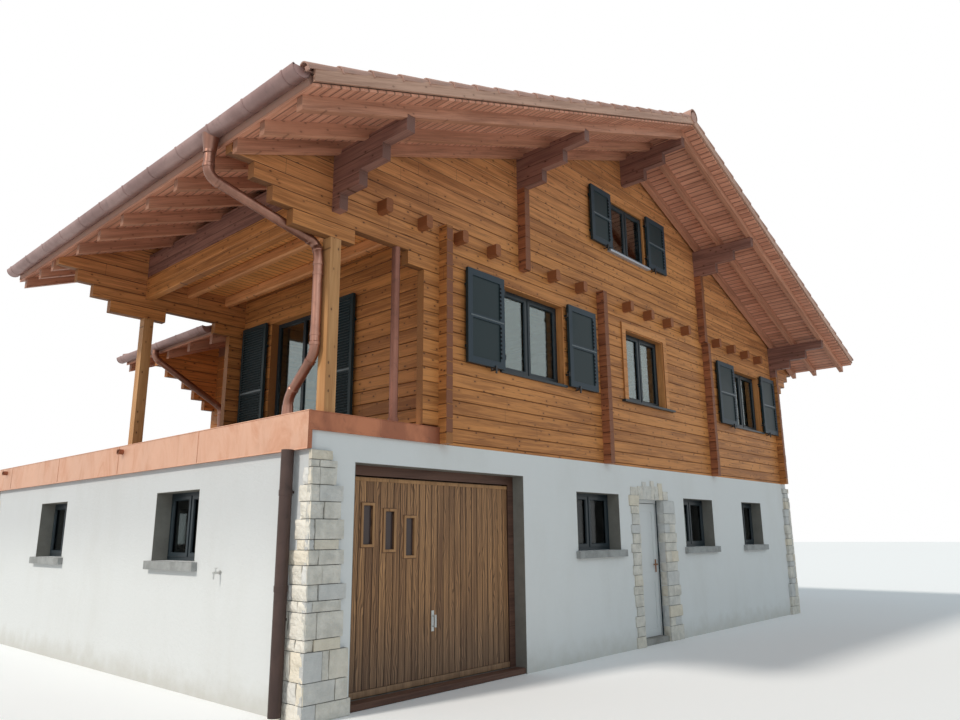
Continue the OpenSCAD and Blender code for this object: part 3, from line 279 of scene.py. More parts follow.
# light and dark tones of the woods
woodTones = {
    "log": ((0.605, 0.253, 0.077), (0.322, 0.121, 0.035)), "end": ((0.41, 0.15, 0.066), (0.21, 0.072, 0.036)),
    "beam": ((0.345, 0.172, 0.132), (0.184, 0.088, 0.07)), "rafter": ((0.6, 0.29, 0.185), (0.37, 0.165, 0.1)),
    "board": ((0.75, 0.362, 0.24), (0.49, 0.216, 0.138)), "casing": ((0.66, 0.29, 0.1), (0.45, 0.18, 0.056)),
    "post": ((0.58, 0.31, 0.13), (0.42, 0.2, 0.075)), "garage": ((0.48, 0.25, 0.108), (0.19, 0.09, 0.04)),
    "slit": ((0.43, 0.23, 0.102), (0.29, 0.15, 0.065)), "verge": ((0.6, 0.36, 0.26), (0.4, 0.225, 0.16)),
    "doorFrame": ((0.125, 0.062, 0.042), (0.07, 0.033, 0.023)),
    "joist": ((0.85, 0.4, 0.165), (0.56, 0.235, 0.09)),
    # the wing tone is a paler copy of the log tone, painted sunlight on the wing wall
    "ceiling": ((0.86, 0.4, 0.13), (0.6, 0.25, 0.075)), "wing": ((0.86, 0.34, 0.1), (0.5, 0.18, 0.05)),
}


def woodMaterial(name, tone, axis, rowHeight=logHeight, firstJoint=0.0, knots=1.0, fine=1.0, contrast=0.35,
                 tilt=0.0, coat=0.03, butts=0.0, joint=0.007, cracks=0.25, figure=0.0, foot=False,
                 eaveBounceLight=None, heads=None):
    material, shader, coords = startMaterial(name, coat=coat, specular=0.3)
    light, dark = woodTones[tone]
    x, y, z = separate(coords)
    grain = placeGroup(woodGroup, turnedVector(coords, axis, tilt), **{
        "Row Height": rowHeight, "First Joint": firstJoint, "Light": light, "Dark": dark, "Knots": knots,
        "Fine": fine, "Row Contrast": contrast, "Butts": butts, "Joint": joint, "Cracks": cracks})
    color = grain["Color"]
    if axis in ("x", "y", "z"):  # rings on the cut ends
        index = "xyz".index(axis)
        flat = [0.0 if i == index else mathNode("FRACT", times(part, 6.5))
                for i, part in enumerate((x, y, z))]
        rings = addNode(treeOf(coords), "TexWave", wave_type="RINGS", rings_direction="SPHERICAL", Scale=14.0,
                        Distortion=3.0, Detail=3.0, Vector=combine(*flat))
        endColor = mixColor(rings.outputs["Fac"], scaledColor(dark, 0.8), scaledColor(light, 0.6))
        facing = mathNode("ABSOLUTE", separate(normalOf(coords))[index])
        color = mixColor(mapRange(facing, 0.8, 0.9), color, endColor)
    if figure:  # arched growth lines, each board its own
        board = mathNode("FLOOR", mathNode("DIVIDE", minus(x, firstJoint), rowHeight))
        rise = plus(times(z, 0.3), times(board, 3.7))
        lines = addNode(treeOf(coords), "TexWave", wave_type="BANDS", bands_direction="X", Scale=15.0,
                        Distortion=15.0, Detail=1.0, Vector=combine(x, 0.0, rise), **{"Detail Scale": 0.7})
        lineMask = times(mapRange(lines.outputs["Fac"], 0.5, 0.85), figure)
        color = mixColor(lineMask, color, scaledColor(dark, 0.3))
    if foot:  # the foot of the door is greyer
        color = mixColor(mapRange(z, 1.05, 0.1), color, (0.62, 0.7, 0.9), "MULTIPLY")
    if eaveBounceLight:  # painted light: logs close under the roof are paler, standing in for bounce light under the eaves
        fall = times(mathNode("ABSOLUTE", x), math.tan(pitch))
        under = minus(ridgeUnder, plus(z, fall))
        near = times(mapRange(under, 1.7, 0.2), mapRange(z, 4.2, 4.8))
        color = mixColor(near, color, eaveBounceLight, "MULTIPLY")
    if heads:  # the heads of the joists at the front are darker
        headColor = mixColor(grain["Height"], heads, scaledColor(heads, 0.55))
        color = mixColor(mapRange(y, frontY - 0.01, frontY + 0.01, 1.0, 0.0), color, headColor)
    endMaterial(shader, color, grain["Roughness"], grain["Height"], 0.35, 0.004)
    return material


def plasterMaterial():
    material, shader, coords = startMaterial("whiteRender", specular=0.3)
    x, y, z = separate(coords)
    grime = placeGroup(grimeGroup, coords, Scale=1.3, Low=0.42, High=0.8, Streak=2.5)
    color = mixColor(times(grime["Mask"], 0.35), (0.735, 0.74, 0.735), (0.63, 0.62, 0.59))
    wavyZ = plus(z, times(noise(coords, 5.0), 0.35))
    color = mixColor(mapRange(wavyZ, 0.12, 0.5, 0.55, 0.0), color, (0.5, 0.47, 0.41))
    leftWallShade = times(mapRange(z, 0.9, 1.9), mapRange(x, -5.66, -5.6, 1.0, 0.0))
    color = mixColor(leftWallShade, color, (0.84, 0.84, 0.85), "MULTIPLY")  # painted shade: the left wall is darker higher up
    height = plus(noise(coords, 170.0, 3.0, 0.7), times(noise(coords, 22.0, 3.0), 1.4))
    endMaterial(shader, color, 0.9, height, 0.5, 0.006)
    return material


def stoneMaterial(name, light, dark, scale, warm, strength=0.6, tones=None, deep=0.012):
    material, shader, coords = startMaterial(name, specular=0.3)
    blot = noise(coords, scale, 6.0, 0.65)
    veins = noise(coords, scale * 7, 5.0, 0.7)
    color = mixColor(mapRange(blot, 0.35, 0.68), light, dark)
    color = mixColor(times(mapRange(veins, 0.45, 0.7), 0.45), color, warm)
    if tones:  # some stones are cooler and some are ochre
        shade = ownShade(material.node_tree)
        color = mixColor(times(mapRange(shade, 0.66, 0.9), 0.65), color, tones[0])
        color = mixColor(times(mapRange(shade, 0.25, 0.05), 0.5), color, tones[1])
    rough = plus(0.75, times(blot, 0.2))
    endMaterial(shader, color, rough, plus(times(blot, 1.2), veins), strength, deep)
    return material


def copperMaterial(name, light, mid, dark, rough, metallic=0.75, litPaleSide=None):
    material, shader, coords = startMaterial(name, metallic=metallic)
    grime = placeGroup(grimeGroup, coords, Scale=1.7, Low=0.4, High=0.62, Streak=2.2)
    spots = noise(coords, 7.0, 6.0, 0.7, 0.8)
    color = mixColor(grime["Mask"], light, mid)
    color = mixColor(times(mapRange(spots, 0.52, 0.75), 0.55), color, dark)
    if litPaleSide:  # the weather side, which faces the sun, is paler with run marks: partly weathering, partly painted sunlight and painted highlight streaks
        stretched = [times(part, scale) for part, scale in zip(separate(coords), (3.0, 3.0, 1.3))]
        runsAndSheen = mapRange(noise(combine(*stretched), 1.0, 5.0, 0.7, 1.2), 0.42, 0.75)
        litWeatherSide = mapRange(separate(normalOf(coords))[0], -0.9, -0.5, 0.8, 0.0)
        color = mixColor(litWeatherSide, color, mixColor(runsAndSheen, litPaleSide, (0.68, 0.35, 0.22)))
    height = plus(noise(coords, 2.4, 2.0), times(grime["Height"], 0.05))
    endMaterial(shader, color, plus(rough, times(spots, 0.25)), height, 0.35, 0.04)
    return material


def paintMaterial(name, color, worn, rough, coat=0.1, metallic=0.0, specular=0.4, stile=None):
    material, shader, coords = startMaterial(name, metallic=metallic, coat=coat, specular=specular)
    grime = placeGroup(grimeGroup, coords, Scale=3.0, Low=0.5, High=0.8, Streak=2.0)
    painted = mixColor(times(grime["Mask"], 0.5), color, worn)
    if stile:  # the outer frames of the front shutters are a little bluer than their panels
        outer = mapRange(separate(coords)[1], -4.3165, -4.3135, 1.0, 0.0)
        painted = mixColor(outer, painted, stile)
    roughness = plus(rough, times(grime["Mask"], 0.15))
    endMaterial(shader, painted, roughness, noise(coords, 240.0, 2.0), 0.15, 0.0006)
    return material


def glassMaterial(name, color, ior, tint):
    material, shader, coords = startMaterial(name)
    for label, value in (("Transmission Weight", 1.0), ("IOR", ior), ("Specular Tint", tint)):
        feed(shader.inputs[label], value)
    rough = mapRange(noise(coords, 3.0), 0.4, 0.7, 0.01, 0.05)
    endMaterial(shader, color, rough, noise(coords, 1.6, 1.0), 0.08, 0.01)
    return material


def tileMaterial():
    material, shader, coords = startMaterial("clayTile", specular=0.35)
    shade = ownShade(material.node_tree)
    lichen = noise(coords, 9.0, 6.0, 0.7)
    color = mixColor(shade, (0.42, 0.235, 0.18), (0.56, 0.34, 0.275))
    color = mixColor(times(mapRange(lichen, 0.5, 0.72), 0.5), color, (0.33, 0.25, 0.21))
    rough = mapRange(lichen, 0.3, 0.8, 0.62, 0.88)
    endMaterial(shader, color, rough, plus(noise(coords, 180.0, 2.0), lichen), 0.4, 0.003)
    return material


# woods
# the front logs take painted bounce light under the eaves
logsX = woodMaterial("frontLogs", "log", "x", firstJoint=frontJoint, butts=1.0, cracks=0.55,
                     eaveBounceLight=(1.2, 1.27, 1.6))
logsY = woodMaterial("sideLogs", "log", "y", firstJoint=sideJoint, butts=1.0, cracks=0.45)
# painted sunlight: the wing wall takes a paler copy of the log tones
sunlitWingLogs = woodMaterial("sunlitWingLogs", "wing", "x", firstJoint=frontJoint)
crossWood = woodMaterial("crossWood", "end", "y", firstJoint=sideJoint)
purlinWood = woodMaterial("purlinWood", "beam", "y", firstJoint=sideJoint)
joistWood = woodMaterial("joistWood", "joist", "y", rowHeight=0.35, knots=0.7, heads=(0.35, 0.122, 0.046))
postWood = woodMaterial("postWood", "post", "z", rowHeight=0.7, firstJoint=-5.9, knots=0.9)
rafterLook = {"rowHeight": 0.6, "knots": 0.5}
wingRafterWood = woodMaterial("wingRafterWood", "rafter", "x", tilt=pitch, **rafterLook)
leftRafterWood = woodMaterial("leftRafterWood", "rafter", "x", tilt=pitch, **rafterLook)
rightRafterWood = woodMaterial("rightRafterWood", "rafter", "x", tilt=-pitch, **rafterLook)
boardLook = {"rowHeight": 0.1, "contrast": 0.5, "knots": 0.35, "joint": 0.014}
leftBoardWood = woodMaterial("leftBoardWood", "board", "slopeBoards", tilt=pitch, **boardLook)
rightBoardWood = woodMaterial("rightBoardWood", "board", "slopeBoards", tilt=-pitch, **boardLook)
ceilingWood = woodMaterial("ceilingWood", "ceiling", "ceiling", rowHeight=0.1, contrast=0.4, knots=0.4,
                           joint=0.012)
vergeWood = woodMaterial("vergeWood", "verge", "verge", rowHeight=30.0, firstJoint=-14.0, knots=0.5)
casingWood = woodMaterial("casingWood", "casing", "x", rowHeight=0.4, knots=0.4)
linerWood = woodMaterial("linerWood", "casing", "z", rowHeight=0.5, firstJoint=-5.13, knots=0.3)
garageWood = woodMaterial("garageWood", "garage", "z", rowHeight=0.087846, firstJoint=-5.062, knots=0.0,
                          fine=4.2, joint=0.012, contrast=0.32, coat=0.1, figure=0.62, foot=True)
slitWood = woodMaterial("slitWood", "slit", "z", rowHeight=0.5, firstJoint=-5.1, knots=0.0, fine=0.6, foot=True)
garageFrameWood = woodMaterial("garageFrameWood", "doorFrame", "x", rowHeight=0.5, knots=0.0, fine=0.6)
# render, stone and tiles
whiteRender = plasterMaterial()
concrete = stoneMaterial("concrete", (0.34, 0.33, 0.31), (0.22, 0.215, 0.2), 3.0, (0.3, 0.27, 0.23))
reveal = stoneMaterial("reveal", (0.235, 0.225, 0.2), (0.19, 0.18, 0.16), 4.0, (0.22, 0.2, 0.17),
                       strength=0.25)
mortar = stoneMaterial("mortar", (0.2, 0.19, 0.17), (0.14, 0.13, 0.12), 9.0, (0.19, 0.17, 0.14))
sillStone = stoneMaterial("sillStone", (0.36, 0.365, 0.36), (0.25, 0.255, 0.25), 6.0, (0.33, 0.31, 0.28),
                          strength=0.2)
limestone = stoneMaterial("limestone", (0.76, 0.72, 0.655), (0.56, 0.535, 0.485), 7.0, (0.7, 0.63, 0.51),
                          strength=0.9, deep=0.014, tones=((0.58, 0.59, 0.6), (0.78, 0.67, 0.5)))
# painted sunlight: a lighter copy of the limestone for the side faces of the corner stones
litSideStone = stoneMaterial("litSideStone", (0.93, 0.87, 0.78), (0.76, 0.71, 0.625), 7.0, (0.9, 0.79, 0.63),
                           strength=0.9, deep=0.014, tones=((0.82, 0.81, 0.8), (0.93, 0.8, 0.61)))
clayTile = tileMaterial()
# copper
# the coping's side towards the sun takes painted sunlight and highlight streaks
copingCopper = copperMaterial("copingCopper", (0.48, 0.19, 0.1), (0.32, 0.12, 0.066), (0.2, 0.085, 0.055),
                              0.42, 0.6, (0.8, 0.5, 0.36))
gutterCopper = copperMaterial("gutterCopper", (0.42, 0.28, 0.26), (0.33, 0.21, 0.195), (0.2, 0.14, 0.13), 0.36)
pipeCopper = copperMaterial("pipeCopper", (0.4, 0.205, 0.15), (0.26, 0.13, 0.095), (0.15, 0.085, 0.07),
                            0.2, 0.85)
# painted shade: a darker copy of the pipe copper for the storey pipe, which stands in shade
shadedCopper = copperMaterial("shadedCopper", (0.27, 0.12, 0.085), (0.2, 0.085, 0.06), (0.1, 0.05, 0.04), 0.36)
brownPipe = copperMaterial("brownPipe", (0.085, 0.05, 0.042), (0.06, 0.037, 0.032), (0.035, 0.024, 0.021),
                           0.42, 0.4)
# paints, metals and glass
darkFrame = paintMaterial("darkFrame", (0.02, 0.03, 0.037), (0.045, 0.055, 0.062), 0.34,
                          coat=0.03, specular=0.3)
shutterPaint = paintMaterial("shutterPaint", (0.018, 0.032, 0.036), (0.034, 0.048, 0.052), 0.45, coat=0.0,
                             specular=0.22, stile=(0.03, 0.046, 0.06))
# painted shade for the slots beside the louvre ends
slotShadowPaint = paintMaterial("slotShadowPaint", (0.003, 0.003, 0.004), (0.005, 0.005, 0.006), 0.7,
                          coat=0.0, specular=0.1)
# pale paint of the middle bars, partly a painted highlight
barPaintAndHighlight = paintMaterial("barPaintAndHighlight", (0.1, 0.125, 0.135), (0.2, 0.22, 0.23), 0.35)
# painted highlight: the slats are a lighter copy of the shutter paint, for the light they catch
slatPaintAndHighlight = paintMaterial("slatPaintAndHighlight", (0.035, 0.048, 0.052), (0.06, 0.07, 0.075), 0.35,
                          coat=0.0, specular=0.3)
smokedPane = paintMaterial("smokedPane", (0.055, 0.036, 0.034), (0.09, 0.065, 0.06), 0.16,
                           coat=0.12, specular=0.3)
whitePaint = paintMaterial("whitePaint", (0.62, 0.63, 0.63), (0.53, 0.54, 0.54), 0.35)
paleMetal = paintMaterial("paleMetal", (0.62, 0.62, 0.6), (0.45, 0.44, 0.42), 0.35)
paleSill = paintMaterial("paleSill", (0.42, 0.45, 0.5), (0.3, 0.32, 0.35), 0.3, metallic=0.4)
steel = paintMaterial("steel", (0.6, 0.6, 0.58), (0.42, 0.4, 0.37), 0.3, metallic=0.9)
rustyIron = paintMaterial("rustyIron", (0.24, 0.1, 0.045), (0.09, 0.045, 0.03), 0.65)
blackIron = paintMaterial("blackIron", (0.02, 0.02, 0.022), (0.05, 0.045, 0.04), 0.5)
windowGlass = glassMaterial("windowGlass", (0.55, 0.64, 0.64), 2.25, (0.78, 0.9, 0.88))
darkGlass = glassMaterial("darkGlass", (0.3, 0.33, 0.33), 1.33, (0.7, 0.75, 0.75))
print("materials ready")

nodeMaterials = (
    (whiteRender, "base_front_left base_front_middle base_front_right base_lintels base_left_wall"),
    (whiteRender, "base_right_wall base_rear_wall"), (concrete, "floor_slab ceiling_slab terrace_floor"),
    (mortar, "corner_stones door_surround"), (sillStone, "base_sills"), (darkGlass, "base_glass"),
    (darkFrame, "base_window_frames upper_window_frames terrace_door"), (garageFrameWood, "garage_frame"),
    (whitePaint, "entrance_frame entrance_leaf"), (copingCopper, "copper_coping"), (gutterCopper, "gutters"),
    (logsX, "front_log_wall front_gable rear_log_wall rear_gable"), (crossWood, "cross_log_ends"),
    (logsY, "left_log_wall right_log_wall edge_beam"), (joistWood, "attic_joists"),
    (ceilingWood, "attic_floor"), (postWood, "terrace_posts"), (purlinWood, "purlins"),
    (leftRafterWood, "left_rafters"),
    (rightRafterWood, "right_rafters"), (leftBoardWood, "left_roof_boards wing_roof_boards"),
    (rightBoardWood, "right_roof_boards"), (vergeWood, "verge_boards"), (pipeCopper, "downpipes"),
    (clayTile, "left_roof_tiles right_roof_tiles ridge_tiles wing_roof_tiles"), (windowGlass, "upper_glass"),
    (casingWood, "window_casings"), (shutterPaint, "shutters"), (sunlitWingLogs, "wing_walls"), (steel, "tap"),
    (wingRafterWood, "wing_rafters"), (garageWood, "garage_leaf"), (smokedPane, "garage_glass"),
    (paleMetal, "garage_handle"), (rustyIron, "entrance_handle"),
)
for material, names in nodeMaterials:
    for name in names.split():
        nodes[name].data.materials.clear()
        nodes[name].data.materials.append(material)
print("node materials set")


# shared piece helpers
def addBox(bm, low, high):
    middle = [(a + b) / 2 for a, b in zip(low, high)]
    size = [b - a for a, b in zip(low, high)]
    place = Matrix.Translation(middle) @ Matrix.Diagonal((*size, 1))
    return bmesh.ops.create_cube(bm, size=1, matrix=place)["verts"]


def sortedBox(xs, ys, low, high):
    # the two corners of a box, whichever way its x and y run
    (x0, x1), (y0, y1) = sorted(xs), sorted(ys)
    return (x0, y0, low), (x1, y1, high)


def addBevelBox(bm, low, high, width, segments=1):
    edges = {edge for vert in addBox(bm, low, high) for edge in vert.link_edges}
    bmesh.ops.bevel(bm, geom=list(edges), offset=width, affect="EDGES", segments=segments, profile=0.5,
                    material=-1)


def addTube(bm, start, direction, radius, length, endRadius=None, segments=24, caps=True):
    turn = Vector(direction).to_track_quat("Z", "Y").to_matrix().to_4x4()
    place = Matrix.Translation(Vector(start) + Vector(direction).normalized() * length / 2) @ turn
    end = radius if endRadius is None else endRadius
    return bmesh.ops.create_cone(bm, cap_ends=caps, segments=segments, radius1=radius, radius2=end,
                                 depth=length, matrix=place)["verts"]


def keepSide(bm, z, above):
    # cuts at the level z and keeps what is above it or below it
    bmesh.ops.bisect_plane(bm, geom=bm.verts[:] + bm.edges[:] + bm.faces[:], plane_co=(0, 0, z),
                           plane_no=(0, 0, 1), clear_inner=above, clear_outer=not above)


def facePlace(x, y, z, turn):
    return Matrix.Translation((x, y, z)) @ Matrix.Rotation(math.radians(turn), 4, "Z")


def meshOf(bm, name, recalculated=True):
    if recalculated:
        bmesh.ops.recalc_face_normals(bm, faces=bm.faces[:])
    mesh = bpy.data.meshes.new(name)
    bm.to_mesh(mesh)
    bm.free()
    return mesh


def finishPiece(name, shape, materials, replaced=(), body="house", smooth=None):
    mesh = meshOf(shape, name) if isinstance(shape, bmesh.types.BMesh) else shape
    piece = bpy.data.objects.new(name, mesh)
    scene.collection.objects.link(piece)
    for material in materials:
        mesh.materials.append(material)
    if smooth is not None:
        mesh.shade_smooth()
        mesh.set_sharp_from_angle(angle=math.radians(smooth))
    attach(piece, body)
    if replaced:
        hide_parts(*replaced)


def appliedMesh(data, counts=()):
    # the mesh of a curve or a mesh, repeated by pairs of a count and a step
    maker = bpy.data.objects.new("maker", data)
    scene.collection.objects.link(maker)
    for count, step in counts:
        modifier = maker.modifiers.new("array", "ARRAY")
        modifier.count = count
        modifier.use_relative_offset = False
        modifier.use_constant_offset = True
        modifier.constant_offset_displace = step
    applied = bpy.data.meshes.new_from_object(maker.evaluated_get(bpy.context.evaluated_depsgraph_get()))
    bpy.data.objects.remove(maker)
    return applied


def repeated(mesh, counts, seed, jitter):
    # repeats a small shape, moves each copy a little and gives each its own shade
    faces, points = len(mesh.polygons), len(mesh.vertices)
    many = appliedMesh(mesh, counts)
    copies = len(many.vertices) // points
    chance = numpy.random.default_rng(seed)
    coords = numpy.empty(len(many.vertices) * 3)
    many.vertices.foreach_get("co", coords)
    moved = coords.reshape(copies, points, 3) + chance.uniform(-1, 1, (copies, 1, 3)) * numpy.array(jitter)
    many.vertices.foreach_set("co", moved.reshape(-1))
    shade = many.attributes.new("shade", "FLOAT", "FACE")
    shade.data.foreach_set("value", numpy.repeat(chance.random(copies), faces).astype(numpy.float32))
    return many


# roof tiles: courses, verge tiles and the sheet under them
tiles = {"exposure": 0.3425, "length": 0.395, "thick": 0.013, "roll": 0.03, "panPart": 0.6, "lap": 0.012,
         "lift": 0.016, "base": 0.09, "sheet": 0.082, "capRadius": 0.058, "capSlim": 0.042, "capBase": 0.112,
         "overhang": 0.034}


def tileMesh(width):
    # a shallow pan with a roll beside it, rising towards its foot
    pan = tiles["panPart"]
    bm = bmesh.new()
    bmesh.ops.create_grid(bm, x_segments=1, y_segments=11, size=0.5)
    for vert in bm.verts:
        down, over = vert.co.x + 0.5, vert.co.y + 0.5
        z = tiles["lift"] * down + 0.004 * (math.cos(2 * math.pi * over / pan) if over <= pan else 1.0)
        if pan < over < 0.999:
            z += tiles["roll"] * math.sin(math.pi * (over - pan) / (1.0 - pan)) ** 0.7
        vert.co = (down * tiles["length"], over * (width + tiles["lap"]), z)
    bmesh.ops.solidify(bm, geom=bm.faces[:], thickness=tiles["thick"])
    return meshOf(bm, "tile")


def capMesh():
    length, radius = tiles["length"], tiles["capRadius"]
    bm = bmesh.new()
    addTube(bm, (0, 0, 0), (1, 0, 0), tiles["capSlim"], length, radius, caps=False)
    keepSide(bm, -0.012, True)
    bmesh.ops.solidify(bm, geom=bm.faces[:], thickness=0.01)
    addBevelBox(bm, (length - 0.014, -radius, -0.024), (length, -0.006, 0.012), 0.004)
    return meshOf(bm, "cap")


def roofCover(name, side, ridge, run, y0, y1, columns, node, verges):
    # built flat, then turned up to the ridge; verges are pairs of a place and the way the cap faces
    sloped = run / math.cos(pitch)
    rows = int(sloped / tiles["exposure"] + 0.6)
    first = sloped + tiles["overhang"] - (rows - 1) * tiles["exposure"] - tiles["length"]
    width = (y1 - y0) / columns
    courses = (rows, (tiles["exposure"], 0, 0))
    bm = bmesh.new()
    bm.from_mesh(repeated(tileMesh(width), [courses, (columns, (0, width, 0))], 5, (0.003, 0.0015, 0.0012)))
    bmesh.ops.translate(bm, verts=bm.verts[:], vec=(first, y0, tiles["base"]))
    for y, sign in verges:
        cap = repeated(capMesh(), [courses], 9, (0.002, 0.0, 0.001))
        cap.transform(Matrix.Translation((first, y, tiles["capBase"])) @ Matrix.Diagonal((1, sign, 1, 1)))
        bm.from_mesh(cap)
    addBox(bm, (0, y0 + 0.02, 0.001), (sloped - 0.004, y1 - 0.02, tiles["sheet"]))
    turn = Matrix.Translation((0, 0, ridge + boardUp)) @ Matrix.Rotation(pitch, 4, "Y")
    bmesh.ops.transform(bm, verts=bm.verts[:], matrix=Matrix.Diagonal((side, 1, 1, 1)) @ turn)
    finishPiece(name, bm, [clayTile], [node] if node else (), smooth=35)


wingRidge = ridgeUnder - wingDrop
vergeFront, vergeRear = frontY - 1.272, rearLogY + 1.272
wingVerge = wingRearY + 0.98
mainCaps = [(vergeFront + tiles["capRadius"], 1), (vergeRear - tiles["capRadius"], -1)]
wingCaps = [(wingVerge + 0.012 - tiles["capRadius"], -1)]
for side, label in ((-1, "left"), (1, "right")):
    roofCover(label + "Tiles", side, ridgeUnder, eaveRun, vergeFront + 0.06, vergeRear - 0.06, 22,
              label + "_roof_tiles", mainCaps)
    roofCover(label + "WingTiles", side, wingRidge, wingRun, rearLogY + 0.004, wingVerge - 0.05, 9,
              "wing_roof_tiles" if side < 0 else None, wingCaps)
print("roof tiles laid")

# ridge tiles, one over the other
ridgeCap = {"length": 0.4, "exposure": 0.371, "slim": 0.1, "wide": 0.112, "thick": 0.014, "up": 0.1517,
            "cut": -0.045}


def ridgeRow(bm, ridge, y0, y1):
    one = bmesh.new()
    addTube(one, (0, 0, 0), (0, 1, 0), ridgeCap["wide"], ridgeCap["length"], ridgeCap["slim"], caps=False)
    keepSide(one, ridgeCap["cut"], True)
    bmesh.ops.solidify(one, geom=one.faces[:], thickness=ridgeCap["thick"])
    addTube(one, (0, 0, -0.02), (0, 1, 0), ridgeCap["slim"] * 0.8, 0.02)
    run = y1 - y0 - ridgeCap["length"]
    count = round(run / ridgeCap["exposure"]) + 1
    row = repeated(meshOf(one, "ridgeTile"), [(count, (0, run / (count - 1), 0))], 13, (0.0015, 0.0, 0.001))
    row.transform(Matrix.Translation((0, y0, ridge + ridgeCap["up"])))
    bm.from_mesh(row)


ridgeShape = bmesh.new()
ridgeRow(ridgeShape, ridgeUnder, vergeFront - 0.0014, vergeRear + 0.0014)
ridgeRow(ridgeShape, wingRidge, rearLogY + 0.001, wingVerge + 0.014)
finishPiece("ridgeTiles", ridgeShape, [clayTile], ["ridge_tiles"], smooth=35)
print("ridge tiles laid")

# gutters with bead, straps and brackets
gutter = {"radius": 0.0835, "sheet": 0.0025, "bead": 0.0085, "strapOut": 0.0025, "strapThick": 0.003,
          "strapWidth": 0.026, "rimOut": 0.002, "rimThick": 0.0045, "rimWidth": 0.012, "capThick": 0.003}
gutterX, gutterZ = 6.759, 4.98793
wingGutterX, wingGutterZ = 4.589, 4.4329


def halfRing(bm, x, y, long, z, radius, thick):
    ring = bmesh.new()
    addTube(ring, (x, y, z), (0, 1, 0), radius, long, segments=32, caps=False)
    keepSide(ring, z, False)
    bmesh.ops.recalc_face_normals(ring, faces=ring.faces[:])
    bmesh.ops.solidify(ring, geom=ring.faces[:], thickness=thick)
    bm.from_mesh(meshOf(ring, "ring"))


def addGutter(bm, side, x, z, y0, y1, straps, edgeX):
    long, wide = y1 - y0, gutter["strapWidth"]
    middle, radius = side * x, gutter["radius"]
    strapRadius = radius + gutter["strapOut"]
    outer = side * (x + radius - gutter["bead"])
    halfRing(bm, middle, y0, long, z, radius, gutter["sheet"])
    addTube(bm, (outer, y0, z - 0.002), (0, 1, 0), gutter["bead"], long, segments=12)
    for y in (y0, y1 - gutter["capThick"]):
        cap = bmesh.new()
        addTube(cap, (middle, y, z), (0, 1, 0), radius - 0.001, gutter["capThick"], segments=32)
        keepSide(cap, z, False)
        bmesh.ops.holes_fill(cap, edges=cap.edges[:], sides=0)
        bm.from_mesh(meshOf(cap, "cap"))
    for y in (y0, y1 - gutter["rimWidth"]):
        halfRing(bm, middle, y, gutter["rimWidth"], z, radius + gutter["rimOut"], gutter["rimThick"])
    for i in range(straps):
        y = y0 + 0.15 + i * (long - 0.3) / (straps - 1)
        halfRing(bm, middle, y, wide, z, strapRadius, gutter["strapThick"])
        bracket = (side * (x - strapRadius + 0.004), side * (edgeX - 0.03))
        addBevelBox(bm, *sortedBox(bracket, (y, y + wide), z - 0.03, z - 0.024), 0.001)
        addBevelBox(bm, (outer - 0.011, y, z - 0.004), (outer + 0.0105, y + wide, z + 0.0085), 0.003)


gutters = bmesh.new()
for side in (-1, 1):
    addGutter(gutters, side, gutterX, gutterZ, frontY - 1.21, rearLogY + 1.21, 12, eaveRun)
    addGutter(gutters, side, wingGutterX, wingGutterZ, rearLogY + 0.02, wingVerge, 5, wingRun)
finishPiece("gutterRuns", gutters, [gutterCopper], ["gutters"], smooth=35)
print("gutters hung")

# copper pipes with swept elbows, sleeves and funnels
pipe = {"radius": 0.048, "base": 0.057, "elbow": 0.085, "sleeve": 0.005, "segments": 28}


def addSleeve(bm, at, direction, radius, length, endRadius=None):
    addTube(bm, at, direction, radius, length, endRadius, segments=pipe["segments"])


def sweptPipe(bm, points, radius):
    data = bpy.data.curves.new("route", "CURVE")
    data.dimensions = "3D"
    data.bevel_depth = radius
    data.bevel_resolution = 7
    data.resolution_u = 7
    data.use_fill_caps = True
    points = [Vector(point) for point in points]
    stops = [(points[0], points[0], points[0])]
    sleeves = []
    for before, at, after in zip(points, points[1:], points[2:]):
        back, ahead = (before - at).normalized(), (after - at).normalized()
        reach = min(pipe["elbow"], (before - at).length * 0.48, (after - at).length * 0.48)
        start, end = at + back * reach, at + ahead * reach
        stops.append((start, start + back * 0.01, at + back * reach * 0.42))
        stops.append((end, at + ahead * reach * 0.42, end + ahead * 0.01))
        if back.dot(ahead) > -0.99:
            sleeves += [(start, back), (end, ahead)]
    stops.append((points[-1], points[-1], points[-1]))
    spline = data.splines.new("BEZIER")
    spline.bezier_points.add(len(stops) - 1)
    for knot, (at, left, right) in zip(spline.bezier_points, stops):
        knot.handle_left_type = knot.handle_right_type = "FREE"
        knot.co, knot.handle_left, knot.handle_right = at, left, right
    bm.from_mesh(appliedMesh(data))
    wide = radius + pipe["sleeve"]
    for at, direction in sleeves:
        addSleeve(bm, at - direction * 0.006, direction, wide, 0.03)
        addSleeve(bm, at + direction * 0.024, direction, wide, 0.008, radius + 0.001)


def addFunnel(bm, x, y, z, radius, low):
    # a cone whose top follows the round of the gutter
    wide = gutter["radius"]
    verts = addTube(bm, (x, y, low), (0, 0, 1), radius + 0.006, z - 0.05 - low, wide - 0.008,
                    segments=pipe["segments"], caps=False)
    for vert in verts:
        if vert.co.z > low + 0.02:
            away = min(abs(vert.co.x - x), wide - 0.002)
            vert.co.z = z - math.sqrt(wide ** 2 - away ** 2) + 0.002
            vert.co.y = y + (vert.co.y - y) * 1.1
    bmesh.ops.solidify(bm, geom=list({face for vert in verts for face in vert.link_faces}), thickness=0.003)
    addSleeve(bm, (x, y, low - 0.02), (0, 0, 1), radius + 0.008, 0.024)


def wallClip(bm, x, y, z, radius, wallX):
    addSleeve(bm, (x, y, z), (0, 0, 1), radius + 0.004, 0.026)
    addBevelBox(bm, *sortedBox((x, wallX), (y - 0.012, y + 0.012), z + 0.002, z + 0.024), 0.002)


